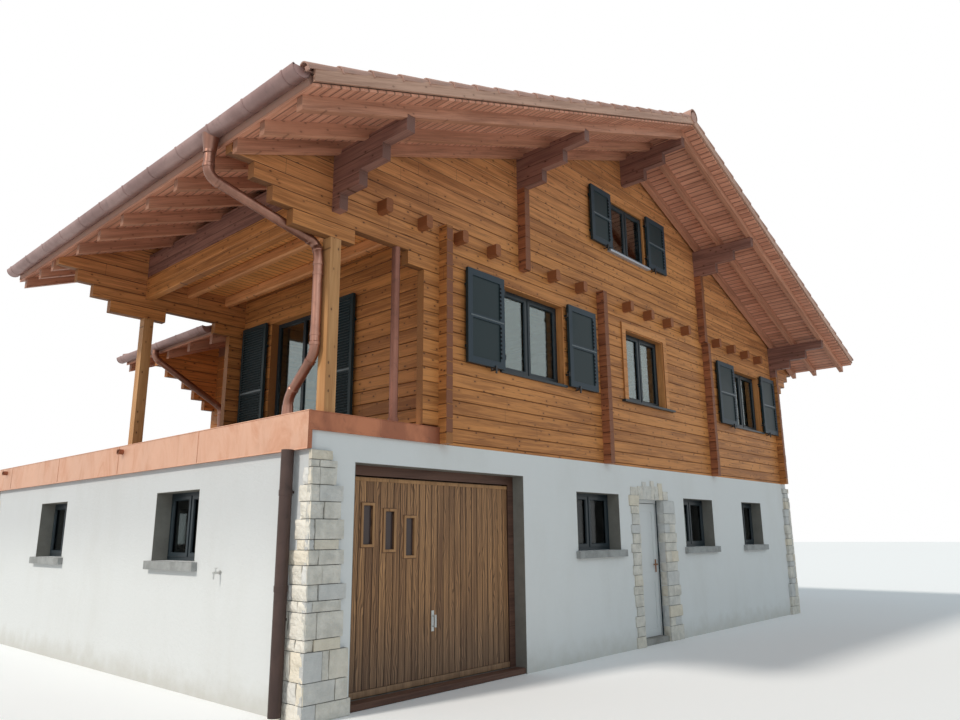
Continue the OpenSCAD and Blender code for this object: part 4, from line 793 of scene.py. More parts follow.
up = (0, 0, 1)
radius = pipe["radius"]
frontPipeY, rightPipeY, wingPipeY, wingPipeX = -4.1, -0.47, 1.5, 3.5
frontPipe, footPipe = (-5.602, -4.138), (-5.605, -3.75)
wingRoute = [(wingGutterX, wingPipeY, 4.36), (wingGutterX, wingPipeY, 4.233), (wingPipeX, 1.35, 3.554),
             (wingPipeX, 1.35, 2.5)]
pipeRoutes = [
    [(-gutterX, frontPipeY, 4.815), (-gutterX, frontPipeY, 4.56), (-5.602, -4.09, 4.28), (*frontPipe, 4.14),
     (*frontPipe, 3.17), (*footPipe, 2.8), (*footPipe, 2.612)],
    [(gutterX, rightPipeY, 4.815), (gutterX, rightPipeY, 4.56), (5.74, rightPipeY, 4.0),
     (5.74, rightPipeY, 0.04)],
    wingRoute, [(-x, y, z) for x, y, z in wingRoute],
]
pipes = bmesh.new()
for route in pipeRoutes:
    sweptPipe(pipes, route, radius)
addFunnel(pipes, -gutterX, frontPipeY, gutterZ, radius, 4.79)
addFunnel(pipes, gutterX, rightPipeY, gutterZ, radius, 4.79)
for side in (-1, 1):
    addSleeve(pipes, (side * wingGutterX, wingPipeY, 4.335), up, radius + 0.004, 0.022)
for z in (3.34, 3.94):
    addSleeve(pipes, (*frontPipe, z), up, radius + 0.004, 0.03)
    addBevelBox(pipes, (-5.602, -4.16, z), (-5.55, -4.125, z + 0.03), 0.002)
addSleeve(pipes, (*footPipe, 2.612), up, radius + 0.009, 0.1, radius + 0.004)
addSleeve(pipes, (*footPipe, 2.611), up, radius + 0.03, 0.006, radius + 0.01)
for z in (0.8, 1.88):
    wallClip(pipes, 5.74, rightPipeY, z, radius, half)
for side in (-1, 1):
    for z in (3.14, 3.44):
        wallClip(pipes, side * wingPipeX, 1.35, z, radius, side * 3.44)
finishPiece("brightPipes", pipes, [pipeCopper], ["downpipes"], smooth=40)

# the storey pipe takes the darker copper, painted shade
storeyPipe = bmesh.new()
sweptPipe(storeyPipe, [(-4.67, -4.2, 2.611), (-4.67, -4.2, 4.478)], radius - 0.004)
addSleeve(storeyPipe, (-4.67, -4.2, 2.611), up, radius + 0.006, 0.045)
finishPiece("storeyPipe", storeyPipe, [shadedCopper], smooth=40)

basePipe = bmesh.new()
baseX, baseY = -5.762, -4.025
sweptPipe(basePipe, [(baseX, baseY, 0.04), (baseX, baseY, 2.268)], pipe["base"])
for z in (1.045, 1.86):
    addSleeve(basePipe, (baseX, baseY, z), up, pipe["base"] + 0.004, 0.05)
for wallX, z in ((-5.692, 0.802), (-half, 1.882)):
    addBevelBox(basePipe, (baseX, baseY - 0.012, z), (wallX, baseY + 0.012, z + 0.022), 0.002)
finishPiece("basePipe", basePipe, [brownPipe], smooth=40)
print("pipes fitted")

# coping: drip edges, folded seams and rivets over the CAD sheet
coping = {"low": 2.268, "top": 2.61, "out": 0.045, "front": 0.022, "seamEvery": 1.98, "seam": 0.022}


def addCoping(bm):
    low, top, seam = coping["low"], coping["top"], coping["seam"]
    outX = half + coping["out"]
    rearY = depth + coping["front"]
    front = frontY - coping["front"]
    edges = (((-outX - 0.006, front - 0.002, low - 0.006), (-outX + 0.006, rearY, low + 0.008)),
             ((-outX - 0.005, front - 0.001, top - 0.006), (-outX + 0.004, rearY, top + 0.004)),
             ((-outX, front - 0.006, 2.436), (terraceX, front + 0.004, 2.449)),
             ((-outX, front - 0.005, top - 0.005), (terraceX, front + 0.004, top + 0.004)),
             ((-outX, rearY - 0.004, low - 0.006), (outX, rearY + 0.006, low + 0.008)),
             ((outX - 0.006, 0.0, low - 0.006), (outX + 0.006, rearY, low + 0.008)))
    for lowCorner, highCorner in edges:
        addBevelBox(bm, lowCorner, highCorner, 0.003, 2)
    seams = []
    y = front + coping["seamEvery"]
    while y < rearY - 0.5:
        seams.append(((-outX - 0.004, y, low + 0.004), (-outX + 0.002, y + seam, top + 0.003)))
        seams.append(((-outX, y, top - 0.002), (-half + 0.3, y + seam, top + 0.005)))
        y += coping["seamEvery"]
    seams.append(((-4.89, front - 0.004, 2.44), (-4.868, front + 0.002, top + 0.003)))
    seams.append(((-outX - 0.004, front - 0.003, low + 0.002), (-outX + 0.03, front + 0.002, top - 0.002)))
    for lowCorner, highCorner in seams:
        addBevelBox(bm, lowCorner, highCorner, 0.0015)
    for z in (2.315, 2.37, 2.425, 2.5, 2.56):  # rivets of the folded corner
        addTube(bm, (-outX + 0.017, front - 0.003, z), (0, -1, 0), 0.005, 0.003, 0.003, segments=10)
    for y in (3.83 - depth, 8.15 - depth):  # rims of the scuppers
        addTube(bm, (-outX - 0.062, y, 2.535), (1, 0, 0), 0.036, 0.008, caps=False)


copingShape = bmesh.new()
addCoping(copingShape)
finishPiece("copingEdges", copingShape, [copingCopper], smooth=40)
print("coping edges folded")

# rough stones: corners and entrance, each with its own tone, over dark joints
stones = {"joint": 0.007, "out": 0.055, "sideOut": 0.012, "doorOut": 0.028, "rough": 0.017, "smooth": 0.005,
          "recess": 0.024, "foot": 0.0025}
photoRandom = random.Random(11)
# courses from the ground up in millimetres: height above ground, height, length in front, length at the side
courses = [(0, 149, 495, 408), (149, 173, 456, 333), (322, 240, 458, 369), (562, 98, 363, 266),
           (660, 218, 389, 326), (878, 93, 360, 235), (971, 135, 410, 276), (1106, 161, 348, 214),
           (1267, 129, 375, 257), (1396, 88, 315, 130), (1484, 175, 365, 172), (1659, 151, 324, 95),
           (1810, 148, 351, 122),
           (1958, 153, 266, 74), (2111, 66, 272, 0), (2177, 89, 224, 0), (2266, 90, 300, 90)]
# upright joints of each course, as parts of its length
frontJoints = [(0.265,), (0.71,), (0.395, 0.555), (0.24,), (0.28,), (0.16,), (0.29,), (0.42,), (0.28,), (0.18,),
               (0.15,), (0.45,), (0.25,), (0.32,), (0.3,), (), ()]
sideJoints = [0.65, 0.24, 0.47, 0.43, 0.69, 0.41, 0.66, 0.33, 0, 0.38, 0, 0.36, 0, 0.33, 0, 0, 0]


def edgesAlong(bm, axis):
    found = []
    for edge in bm.edges:
        span = edge.verts[0].co - edge.verts[1].co
        if abs(span[axis]) > 0.004 and abs(span.length - abs(span[axis])) < 1e-5:
            found.append(edge)
    return found


def addStone(bm, low, high, face, rough, seed, cell, split=0):
    # a block with one broken face, given as its axis and sign; split chooses the second material, a lighter
    # copy of the limestone that paints sunlight on the side faces
    one = bmesh.new()
    addBox(one, low, high)
    for axis in range(3):
        cuts = min(9, int((high[axis] - low[axis]) / cell))
        if cuts > 0:
            bmesh.ops.subdivide_edges(one, edges=edgesAlong(one, axis), cuts=cuts, use_grid_fill=True)
    axis, sign = face
    others = [i for i in range(3) if i != axis]
    shown = high[axis] if sign > 0 else low[axis]
    for vert in one.verts:
        at = vert.co
        if abs(at[axis] - shown) < 1e-4:
            edgeDistance = min(min(at[i] - low[i], high[i] - at[i]) for i in others)
            lump = solidNoise.noise(at * 9 + Vector((seed, 0, seed)))
            lump += 0.6 * solidNoise.noise(at * 31 + Vector((0, seed, 0)))
            worn = 0.55 if edgeDistance < 0.006 else 0.0
            vert.co[axis] -= sign * rough * min(1.35, 0.45 - lump + worn)
        else:
            vert.co += Vector([solidNoise.noise(at * 23 + Vector((seed + i, 0, 0))) * 0.0016 for i in range(3)])
    start = len(bm.faces)
    bm.from_mesh(meshOf(one, "stone"))
    bm.faces.ensure_lookup_table()
    shade = bm.faces.layers.float["shade"]
    tone = photoRandom.random()
    for shownFace in bm.faces[start:]:
        shownFace[shade] = tone
        shownFace.material_index = split


def newStones():
    bm = bmesh.new()
    bm.faces.layers.float.new("shade")
    return bm


def addPile(bm, joints, xSign, ySign, frontScale, sideScale, topZ, cell):
    # one corner: the stones of the front or rear face, those of the side, and the mortar behind them
    gap, outY = stones["joint"], depth + stones["out"]
    for index, (z, height, front, side) in enumerate(courses):
        if z + height >= topZ:
            continue
        low, high = max(stones["foot"], z / 1000), (z + height) / 1000 - gap
        length, deep = front * frontScale / 1000, side * sideScale / 1000
        stops = [-stones["sideOut"]] + [length * part for part in frontJoints[index]] + [length]
        last = len(stops) - 2
        for i in range(last + 1):
            near = stops[i] + (gap / 2 if i else 0)
            far = stops[i + 1] - (gap / 2 if i < last else 0)
            if i == 0 and photoRandom.random() < 0.45:
                rough = stones["rough"]
            else:
                rough = stones["smooth"] * photoRandom.uniform(0.6, 1.9)
            xs = (xSign * (half - near), xSign * (half - far))
            box = sortedBox(xs, (ySign * outY, ySign * depth), low, high)
            addStone(bm, *box, (1, ySign), rough, index * 3 + i, cell)
        foot = max(0.0005, low - gap + 0.002)
        frontBack = (xSign * (half + stones["sideOut"] - 0.006), xSign * (half - length + 0.012))
        ys = (ySign * (outY - stones["recess"]), ySign * (depth + 0.0002))
        addBox(joints, *sortedBox(frontBack, ys, foot, high + 0.001))
        if side == 0:
            continue
        total = deep + stones["out"]
        cut = total * sideJoints[index]
        spans = ((0.0, cut - 0.003), (cut + 0.004, total)) if cut else ((0.0, total),)
        for i, (near, far) in enumerate(spans):
            xs = (xSign * (half + stones["sideOut"] + 0.01), xSign * (half - 0.002))
            box = sortedBox(xs, (ySign * (outY - near - 0.004), ySign * (outY - far)), low, high)
            # the side faces take the second material, painted sunlight
            addStone(bm, *box, (0, xSign), stones["rough"] * 0.88, index * 5 + i + 90, cell, 1)
        sideBack = (xSign * (half + 0.0009), xSign * (half - 0.001))
        ys = (ySign * (depth + 0.0002), ySign * (outY - total + 0.008))
        addBox(joints, *sortedBox(sideBack, ys, foot, high + 0.001))


cornerShape, cornerJoints = newStones(), bmesh.new()
for xSign, ySign, frontScale, sideScale, topZ, cell in (
        (-1, -1, 1, 1, 2268, 0.03), (1, -1, 0.75, 0.9, 2440, 0.05),
        (-1, 1, 0.8, 0.9, 2268, 0.06), (1, 1, 0.8, 0.9, 2268, 0.06)):
    addPile(cornerShape, cornerJoints, xSign, ySign, frontScale, sideScale, topZ, cell)
finishPiece("cornerStones", meshOf(cornerShape, "cornerStones", False), [limestone, litSideStone],
            ["corner_stones"])
finishPiece("cornerJoints", cornerJoints, [mortar])
print("corner stones laid")

# stones round the entrance in millimetres: height above ground, height, length; over it: place, width, height
doorway = {"left": -0.08, "right": 0.64, "top": 1.99}
leftStones = [(0, 150, 215), (150, 125, 190), (275, 140, 225), (415, 120, 180), (535, 160, 205),
              (695, 110, 230), (805, 150, 190), (955, 130, 225), (1085, 170, 200), (1255, 120, 235),
              (1375, 140, 185), (1515, 120, 215), (1635, 150, 180), (1785, 110, 200), (1895, 150, 240)]
rightStones = [(0, 210, 380), (210, 120, 340), (330, 160, 370), (490, 130, 330), (620, 150, 365),
               (770, 200, 340), (970, 130, 310), (1100, 160, 355), (1260, 120, 325), (1380, 140, 350),
               (1520, 130, 315), (1650, 150, 345), (1800, 190, 330)]
overStones = [(0, 140, 180), (140, 110, 250), (250, 120, 190), (370, 105, 270), (475, 115, 195),
              (590, 130, 245)]
front = frontY - stones["doorOut"]
backY = frontY - 0.0002
left, right, top = doorway["left"], doorway["right"], doorway["top"]
entranceShape, entranceJoints = newStones(), bmesh.new()
for rows, edge, sign in ((leftStones, left, -1), (rightStones, right, 1)):
    for index, (z, height, length) in enumerate(rows):
        low, high = max(stones["foot"], z / 1000), (z + height) / 1000 - stones["joint"]
        reach = length / 1000
        cut = reach * 0.42
        parted = index % 3 == 1 and sign > 0
        for near, far in ((-0.004, cut - 0.003), (cut + 0.004, reach)) if parted else ((-0.004, reach),):
            box = sortedBox((edge + sign * near, edge + sign * far), (front, frontY), low, high)
            addStone(entranceShape, *box, (1, -1), stones["rough"] * photoRandom.uniform(0.35, 0.65),
                     index * 7 + sign * 3 + 40, 0.04)
        # the lining stone in the reveal
        box = sortedBox((edge + sign * 0.002, edge - sign * 0.013), (frontY + 0.001, frontY + 0.096), low, high)
        addStone(entranceShape, *box, (0, -sign), stones["rough"] * 0.6, index * 9 + sign * 2 + 300, 0.03)
        addBox(entranceJoints, *sortedBox((edge, edge + sign * (reach - 0.012)), (front + 0.017, backY),
                                          max(0.0005, low - 0.004), high + 0.002))
for index, (x, width, height) in enumerate(overStones):
    x0 = left + x / 1000
    x1 = x0 + width / 1000 - stones["joint"]
    addStone(entranceShape, (x0, front, top), (x1, frontY, top + height / 1000), (1, -1), stones["rough"] * 0.7,
             index + 200, 0.04)
for x0, x1, z0, z1 in ((left - 0.185, left - 0.006, 0.052, 0.165), (right + 0.006, right + 0.15, 0.004, 0.13)):
    addStone(entranceShape, (x0, front, top + z0), (x1, frontY, top + z1), (1, -1), stones["rough"] * 0.7,
             230 + x0, 0.04)
addBox(entranceJoints, (left + 0.01, front + 0.016, top + 0.001), (right - 0.012, backY, 2.165))
finishPiece("entranceStones", meshOf(entranceShape, "entranceStones", False), [limestone],
            ["door_surround"])
finishPiece("entranceJoints", entranceJoints, [mortar])
print("entrance stones laid")

# window sashes: an inner frame on each CAD frame, with a rebate and a dark bead
sashes = {"width": 0.042, "out": 0.012, "bar": 0.055, "over": 0.014, "bead": 0.007, "edge": 0.003}


def addFrame(bm, place, x0, z0, x1, z1, width, near, far):
    # a mitred frame in the x and z plane; near and far are its y faces
    one = bmesh.new()
    bmesh.ops.create_grid(one, x_segments=1, y_segments=1, size=0.5)
    upright = Matrix.Rotation(math.pi / 2, 4, "X") @ Matrix.Diagonal((x1 - x0, z1 - z0, 1, 1))
    middle = Matrix.Translation(((x0 + x1) / 2, near, (z0 + z1) / 2))
    bmesh.ops.transform(one, verts=one.verts[:], matrix=middle @ upright)
    rim = bmesh.ops.inset_region(one, faces=one.faces[:], thickness=width, use_boundary=True,
                                 use_even_offset=True)
    inner = [face for face in one.faces if face not in rim["faces"]]
    bmesh.ops.delete(one, geom=inner, context="FACES_ONLY")
    bmesh.ops.recalc_face_normals(one, faces=one.faces[:])
    solid = bmesh.ops.extrude_face_region(one, geom=one.faces[:])["geom"]
    moved = [part for part in solid if isinstance(part, bmesh.types.BMVert)]
    bmesh.ops.translate(one, verts=moved, vec=(0, far - near, 0))
    sharp = [edge for edge in one.edges if len(edge.link_faces) == 2 and edge.calc_face_angle(0) > 1]
    bmesh.ops.bevel(one, geom=sharp, offset=sashes["edge"], affect="EDGES", segments=1, profile=0.5,
                    material=-1)
    one.transform(place)
    bm.from_mesh(meshOf(one, "frame"))


def addSashes(bm, place, width, height):
    # two sashes side by side, each with a bead round its pane
    bar, over, wide = sashes["bar"], sashes["over"], sashes["width"]
    leaf = (width - bar) / 2
    for i in range(2):
        x0 = bar + i * leaf - over
        x1 = x0 + leaf - bar + 2 * over
        addFrame(bm, place, x0, bar - over, x1, height - bar + over, wide, -sashes["out"], 0.012)
        addFrame(bm, place, x0 + wide - 0.002, bar + 0.026, x1 + 0.002 - wide, height - bar - 0.026,
                 sashes["bead"], -0.004, 0.014)


# windows of the front: left edge, width, sill, height, depth of the frame, depth of the lining
winHigh = 1.078
winBottom = beamZ - winHigh
upperWindows = ((-3.04, 1.29), (3.49, 1.29), (-0.19, 1.13))
frontWindows = [(x, width, winBottom, winHigh, 0.11, 0.108) for x, width in upperWindows]
frontWindows.append((-0.49, 1.05, atticSillZ, atticHeight, 0.035, 0.034))
# base windows: the lower left corner on the wall's face, the wall's turn and the width
baseHigh, baseInset = 0.74, 0.18
baseFront = ((4.09, 1.01), (6.985, 1.01), (9.165, 0.85))
baseWindows = [(-half + x, frontY, 1.3, 0, width) for x, width in baseFront]
for y in (1.93, 5.56):
    baseWindows.append((-half, frontY + y + 0.97, 1.26, -90, 0.97))
    baseWindows.append((half, frontY + y, 1.26, 90, 0.97))
baseWindows += [(-half + x + 1.01, depth, 1.3, 180, 1.01) for x in (2.2, 5.2, 8.2)]

sashShape = bmesh.new()
for x, width, z, height, inset, lining in frontWindows:
    addSashes(sashShape, facePlace(x, frontY + inset, z, 0), width, height)
addSashes(sashShape, facePlace(5.55 - 0.11, frontY + 1.4, winBottom, 90), 1.29, winHigh)
for x in (-2.5, 1.4):
    addSashes(sashShape, facePlace(x + 1.1, wingRearY - 0.11, winBottom - logHeight, 180), 1.1, winHigh)
for x, y, z, turn, width in baseWindows:
    addSashes(sashShape, facePlace(x, y, z, turn) @ Matrix.Translation((0, baseInset, 0)), width, baseHigh)
finishPiece("windowSashes", sashShape, [darkFrame])
print("window sashes set")

# shutter fittings: middle bars, frames, near-black painted shadow in the slots at the louvre ends, hinge pins
# and hold-backs of the front shutters
fittings = {"barOut": 0.006, "ringIn": 0.049, "ringEnd": 0.08, "slot": 0.027, "slotStep": 0.051, "pin": 0.011,
            "holdOut": 0.088}
shutterFace = frontY - 0.07
bars, rings, slotShadows, irons = bmesh.new(), bmesh.new(), bmesh.new(), bmesh.new()


def addHinges(bm, edgeX, z, height, hinge):
    for at in (z + 0.14, z + height - 0.17):
        addTube(bm, (edgeX + hinge * 0.014, shutterFace + 0.012, at - 0.012), (0, 0, 1), fittings["pin"],
                0.06, segments=12)
        box = sortedBox((edgeX, edgeX + hinge * 0.02), (shutterFace + 0.01, frontY), at, at + 0.02)
        addBevelBox(bm, *box, 0.002)


def addHoldBack(bm, x, z):
    addTube(bm, (x, frontY, z - 0.026), (0, -1, 0), 0.008, 0.085, segments=10)
    addBevelBox(bm, (x - 0.013, frontY - fittings["holdOut"], z - 0.07),
                (x + 0.013, frontY - 0.074, z + 0.024), 0.004, 2)
    addTube(bm, (x - 0.055, frontY - 0.06, z - 0.02), (1, 0, 0), 0.006, 0.11, segments=10)
    knob = Matrix.Translation((x - 0.058, frontY - 0.06, z - 0.02))
    bmesh.ops.create_uvsphere(bm, u_segments=10, v_segments=6, radius=0.013, matrix=knob)


# left edge, width and the side of the hinges
upperShutters = ((-3.68, 0.64, 1), (-1.71, 0.65, -1), (2.84, 0.67, 1), (4.77, 0.65, -1))
frontShutters = [(x, width, winBottom - 0.01, winHigh + 0.04, hinge) for x, width, hinge in upperShutters]
frontShutters += [(x, width, atticSillZ + 0.01, atticHeight + 0.03, hinge) for x, width, hinge in
                  ((-1.03, 0.53, 1), (0.57, 0.58, -1))]
for x, width, z, height, hinge in frontShutters:
    inside, slot, step = fittings["ringIn"], fittings["slot"], fittings["slotStep"]
    middle = height / 2
    addBevelBox(bars, (x + 0.045, shutterFace - fittings["barOut"], z + middle - 0.008),
                (x + width - 0.02, shutterFace + 0.013, z + middle + 0.008), 0.002)
    addFrame(rings, facePlace(x, shutterFace, z, 0), inside, inside, width - inside, height - inside,
             fittings["ringEnd"] - inside, -0.0004, 0.014)
    # painted shade: near-black dashes in the slots beside the louvre ends
    slotX = x + width - fittings["ringEnd"] - 0.003
    for low, high in ((0.085, middle - 0.02), (middle + 0.02, height - 0.085)):
        steps = int((high - low) / step)
        for k in range(steps):
            at = z + low + 0.5 * (high - low - steps * step) + 0.012 + k * step
            addBevelBox(slotShadows, (slotX, shutterFace - 0.0014, at),
                        (slotX + slot, shutterFace + 0.004, at + slot), 0.001)
    addHinges(irons, x + width if hinge > 0 else x, z, height, hinge)
    addHoldBack(irons, x + width * (0.72 if hinge > 0 else 0.3), z)

# louvres and middle bars of the terrace door's shutters
louvres = {"step": 0.036, "long": 0.018, "thick": 0.003, "turn": -38, "side": 0.054, "end": 0.052, "sill": 2.52,
           "high": 1.9}
terraceFace = terraceX - 0.07
slats = bmesh.new()
for y, width in ((1.42, 0.58), (3.35, 0.6)):
    z, middle = louvres["sill"], louvres["high"] / 2
    for low, high in ((louvres["end"], middle - 0.026), (middle + 0.026, louvres["high"] - louvres["end"])):
        count = int((high - low) / louvres["step"])
        for k in range(count):
            at = z + low + 0.018 + k * (high - low) / count
            verts = addBox(slats, (-louvres["long"], y + louvres["side"], -louvres["thick"]),
                           (louvres["long"], y + width - louvres["side"], louvres["thick"]))
            turn = Matrix.Rotation(math.radians(louvres["turn"]), 4, "Y")
            place = Matrix.Translation((terraceFace + 0.007, frontY, at))
            bmesh.ops.transform(slats, verts=verts, matrix=place @ turn)
    addBevelBox(bars, (terraceFace - 0.006, frontY + y + 0.03, z + middle - 0.012),
                (terraceFace + 0.01, frontY + y + width - 0.03, z + middle + 0.012), 0.003)
for name, shape, material in (("shutterBars", bars, barPaintAndHighlight), ("shutterSlats", slats, slatPaintAndHighlight),
                              ("shutterRims", rings, shutterPaint), ("louvreSlotShadows", slotShadows, slotShadowPaint)):
    finishPiece(name, shape, [material])
finishPiece("shutterIrons", irons, [blackIron], smooth=40)
print("shutter fittings placed")

# wooden linings of the front windows
liner = {"thick": 0.014, "out": 0.004}
linerShape = bmesh.new()
for x, width, z, height, inset, lining in frontWindows:
    near, far, top = frontY - liner["out"], frontY + lining, z + height
    for low, high in (((x - 0.0005, near, z), (x + liner["thick"], far, top)),
                      ((x + width - liner["thick"], near, z), (x + width + 0.0005, far, top)),
                      ((x, near, top - liner["thick"]), (x + width, far, top + 0.0005))):
        addBevelBox(linerShape, low, high, 0.002)
finishPiece("jambLinings", linerShape, [linerWood])

# folded metal over the sill boards
cover = 0.0015


def addSillCover(bm, x0, x1, out, low, top):
    addBevelBox(bm, (x0 - cover, frontY - out - cover, low - cover), (x1 + cover, frontY - 0.0005, top), 0.001)


darkSills, atticSill = bmesh.new(), bmesh.new()
for x0, x1, out, over in ((-3.06, -1.73, 0.028, cover), (3.47, 4.8, 0.028, cover), (-0.35, 1.145, 0.06, 0.0)):
    addSillCover(darkSills, x0, x1, out, winBottom - 0.03, winBottom + over)
finishPiece("darkSills", darkSills, [darkFrame])
addSillCover(atticSill, -0.55, 0.62, 0.06, atticSillZ - 0.03, atticSillZ + cover)
finishPiece("atticSill", atticSill, [paleSill])

# uneven faces on the crossing log ends: middle of each column, its foot and its top
logEnds = {"face": 0.118, "least": 0.001, "most": 0.006, "aside": 0.003, "wide": 0.048, "edge": 0.0045}
columns = [(-0.86, sideJoint, joistZ + logHeight), (2.44, sideJoint, joistZ), (2.35, 5.0, 5.93),
           (-2.62, 5.0, 5.83), (-4.03, sideJoint, joistZ + logHeight), (5.5, sideJoint, 4.55)]
endShape = bmesh.new()
for x, low, high in columns:
    z = sideJoint
    while z < high - 0.1:
        if z >= low - 0.01:
            out = logEnds["face"] + photoRandom.uniform(logEnds["least"], logEnds["most"])
            middle = x + photoRandom.uniform(-logEnds["aside"], logEnds["aside"])
            addBevelBox(endShape, (middle - logEnds["wide"], frontY - out, z + 0.006),
                        (middle + logEnds["wide"], frontY - logEnds["face"] + 0.004, z + 0.148),
                        logEnds["edge"], 2)
        z += logHeight
finishPiece("logEndFaces", endShape, [crossWood])
print("linings and log ends set")

# garage leaf: upright boards over the CAD leaf, split round the slit frames
garage = {"boards": 26, "gap": 0.006, "thick": 0.0045, "left": -5.062, "right": -2.778, "low": 0.13,
          "high": 2.063, "face": frontY + 0.172, "edge": 0.002}
slitBoxes = []
for x, drop in ((0.141, 0.272), (0.419, 0.324), (0.693, 0.387)):
    slitX, slitTop = garage["left"] + x, 2.066 - drop
    slitBoxes.append((slitX - 0.025, slitX + 0.135, slitTop - 0.39, slitTop + 0.025))


def splitRound(pieces, hole):
    # pieces and the hole are boxes in x and z: what is left of each piece beside the hole
    x0, x1, z0, z1 = hole
    left = []
    for a, b, c, d in pieces:
        if b <= x0 or a >= x1 or d <= z0 or c >= z1:
            left.append((a, b, c, d))
            continue
        left += [(a, b, c, z0), (a, b, z1, d)]
        if a < x0 - 0.01:
            left.append((a, x0, z0, z1))
        if b > x1 + 0.01:
            left.append((x1, b, z0, z1))
    return left


face = garage["face"]
boardWidth = (garage["right"] - garage["left"]) / garage["boards"]
boardShape, slitRims, slitShadowLines, rails = bmesh.new(), bmesh.new(), bmesh.new(), bmesh.new()
for i in range(garage["boards"]):
    low = garage["left"] + i * boardWidth + garage["gap"] / 2
    pieces = [(low, low + boardWidth - garage["gap"], garage["low"], garage["high"])]
    for hole in slitBoxes:
        pieces = splitRound(pieces, hole)
    for a, b, c, d in pieces:
        if d - c > 0.02 and b - a > 0.006:
            addBevelBox(boardShape, (a, face - garage["thick"], c), (b, face + 0.0005, d), garage["edge"])
# painted shadow: a dark line round each slit rim
for x0, x1, z0, z1 in slitBoxes:
    for shape, out, width, near, far in ((slitRims, 0.003, 0.027, face - 0.017, face),
                                         (slitShadowLines, 0.011, 0.009, face - 0.0056, face - 0.001)):
        addFrame(shape, Matrix.Identity(4), x0 - out, z0 - out, x1 + out, z1 + out, width, near, far)
railSpan = (garage["left"] + 0.002, garage["right"] - 0.002)
for near, far, z0, z1, width, segments in ((0.018, 0.004, 0.07, 0.128, 0.006, 3),
                                           (0.0095, 0.003, 2.026, 2.062, 0.003, 2)):
    addBevelBox(rails, (railSpan[0], face - near, z0), (railSpan[1], face - far, z1), width, segments)
finishPiece("garageBoards", boardShape, [garageWood], body="garage_door")
finishPiece("slitRims", slitRims, [slitWood], body="garage_door")
finishPiece("slitShadowLines", slitShadowLines, [garageFrameWood], body="garage_door")
finishPiece("garageRails", rails, [slitWood], body="garage_door", smooth=40)

# a dark sill board at the foot of the garage doorway, painted shadow of the gap under the leaf, and a dark
# strip at the entrance's right jamb, painted shadow of the gap beside the frame
gapShadowBoard, jambShadowStrip = bmesh.new(), bmesh.new()
addBevelBox(gapShadowBoard, (-5.165, frontY + 0.012, 0.002), (-2.675, frontY + 0.15, 0.0615), 0.004, 2)
finishPiece("garageGapShadow", gapShadowBoard, [garageFrameWood])
addBevelBox(jambShadowStrip, (0.6, frontY + 0.095, 0.062), (0.628, frontY + 0.1005, 1.985), 0.0015)
addBevelBox(jambShadowStrip, (0.592, frontY + 0.099, 0.062), (0.6, frontY + 0.1005, 1.95), 0.0005)
finishPiece("entranceShadowStrip", jambShadowStrip, [darkFrame])
print("garage boards fitted")

# plastered reveals of the garage doorway and the base windows
linings = {"thick": 0.004, "over": 0.0005, "near": -0.0008}


def lineOpening(bm, place, width, z0, z1, far):
    thick, over, near = linings["thick"], linings["over"], linings["near"]
    one = bmesh.new()
    for low, high in (((-over, near, z0), (thick, far, z1)),
                      ((width - thick, near, z0), (width + over, far, z1)),
                      ((0, near, z1 - thick), (width, far, z1 + over))):
        addBox(one, low, high)
    one.transform(place)
    bm.from_mesh(meshOf(one, "reveal"))


revealShape = bmesh.new()
lineOpening(revealShape, facePlace(-5.17, frontY, 0, 0), 2.5, 0.001, 2.18, 0.158)
for x, y, z, turn, width in baseWindows:
    lineOpening(revealShape, facePlace(x, y, 0, turn), width, z, z + baseHigh, baseInset - 0.002)
finishPiece("plasterReveals", revealShape, [reveal])
print("reveals lined")

# camera at the photograph's angle
camera = {"place": (-9.586, -9.798, 1.504), "forward": (0.7438, 0.6684), "pitch": 13.264, "roll": -0.482,
          "lens": 27.89, "sensor": 36}


def buildCamera():
    rise, roll = math.radians(camera["pitch"]), math.radians(camera["roll"])
    x, y = camera["forward"]
    forward = Vector((x * math.cos(rise), y * math.cos(rise), math.sin(rise)))
    right = Vector((y, -x, 0)).normalized()
    top = right.cross(forward).normalized()
    turnedRight = right * math.cos(roll) + top * math.sin(roll)
    turnedTop = top * math.cos(roll) - right * math.sin(roll)
    data = bpy.data.cameras.new("photoCamera")
    data.sensor_width = camera["sensor"]
    data.sensor_fit = "HORIZONTAL"
    data.lens = camera["lens"]
    data.clip_end = 400
    cameraObject = bpy.data.objects.new("photoCamera", data)
    scene.collection.objects.link(cameraObject)
    turn = Matrix((turnedRight, turnedTop, -forward)).transposed().to_4x4()
    cameraObject.matrix_world = Matrix.Translation(camera["place"]) @ turn
    scene.camera = cameraObject


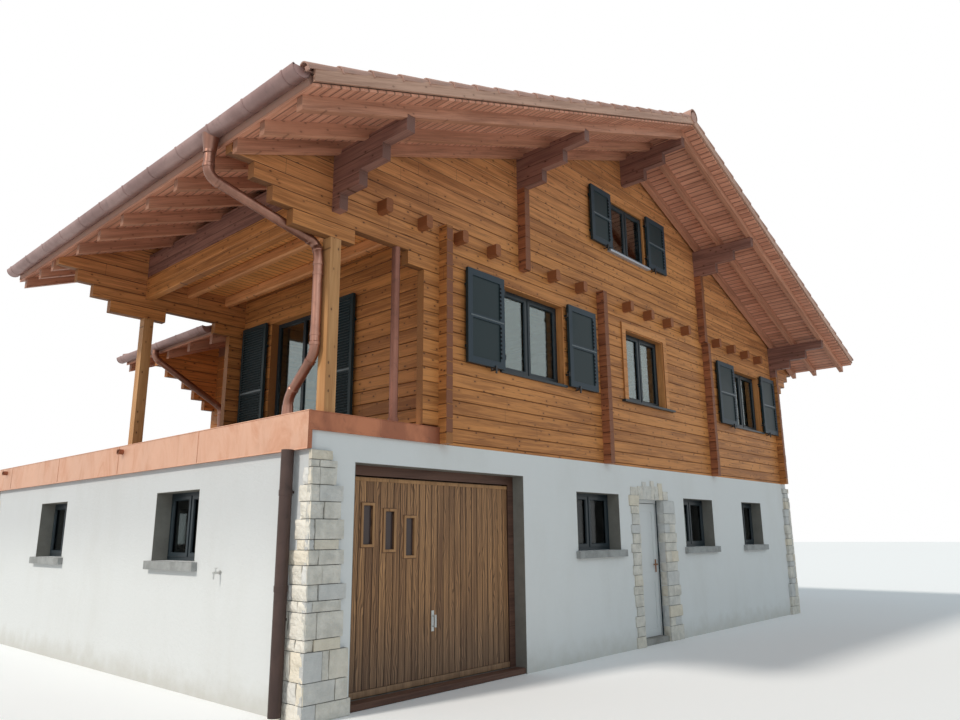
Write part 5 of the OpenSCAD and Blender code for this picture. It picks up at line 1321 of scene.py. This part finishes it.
stage = {"size": 120, "seen": (0.97, 0.97, 0.97), "lit": (0.8, 0.8, 0.79), "rough": 0.95}


def buildStage():
    bm = bmesh.new()
    bmesh.ops.create_grid(bm, x_segments=1, y_segments=1, size=stage["size"])
    mesh = meshOf(bm, "floor", False)
    floor = bpy.data.objects.new("floor", mesh)
    scene.collection.objects.link(floor)
    material, shader, coords = startMaterial("paleFloor", specular=0.1)
    rays = addNode(material.node_tree, "LightPath")
    color = mixColor(rays.outputs["Is Camera Ray"], stage["lit"], stage["seen"])
    for label, value in (("Base Color", color), ("Roughness", stage["rough"])):
        feed(shader.inputs[label], value)
    mesh.materials.append(material)


# lamps: turn in degrees, power, angle in degrees and color
lamps = {"leftSun": ((50, 0, -100), 2.05, 6, (1.0, 0.95, 0.87)),
         "frontFill": ((62, 0, -25), 0.34, 40, (0.72, 0.91, 1.0))}


def buildLight():
    # the camera, mirrors and panes see a white world; the rest is lit by a blue one
    world = bpy.data.worlds.new("paleWorld")
    scene.world = world
    world.use_nodes = True
    tree = world.node_tree
    sky = tree.nodes["Background"]
    sky.inputs["Color"].default_value = (0.84, 0.94, 1.0, 1)
    sky.inputs["Strength"].default_value = 0.5
    white = addNode(tree, "Background", Color=(1, 1, 1), Strength=1.0)
    rays = addNode(tree, "LightPath").outputs
    seen = mathNode("MAXIMUM", rays["Is Glossy Ray"], rays["Is Transmission Ray"])
    mix = addNode(tree, "MixShader")
    feed(mix.inputs[0], mathNode("MAXIMUM", rays["Is Camera Ray"], seen))
    feed(mix.inputs[1], sky.outputs[0])
    feed(mix.inputs[2], white.outputs[0])
    feed(tree.nodes["World Output"].inputs["Surface"], mix.outputs[0])
    for name, (turn, power, angle, color) in lamps.items():
        data = bpy.data.lights.new(name, "SUN")
        data.energy = power
        data.color = color
        data.angle = math.radians(angle)
        lamp = bpy.data.objects.new(name, data)
        lamp.rotation_euler = [math.radians(v) for v in turn]
        scene.collection.objects.link(lamp)


scene.view_settings.view_transform = "Standard"
buildCamera()
buildStage()
buildLight()
print("camera, floor and lights ready")
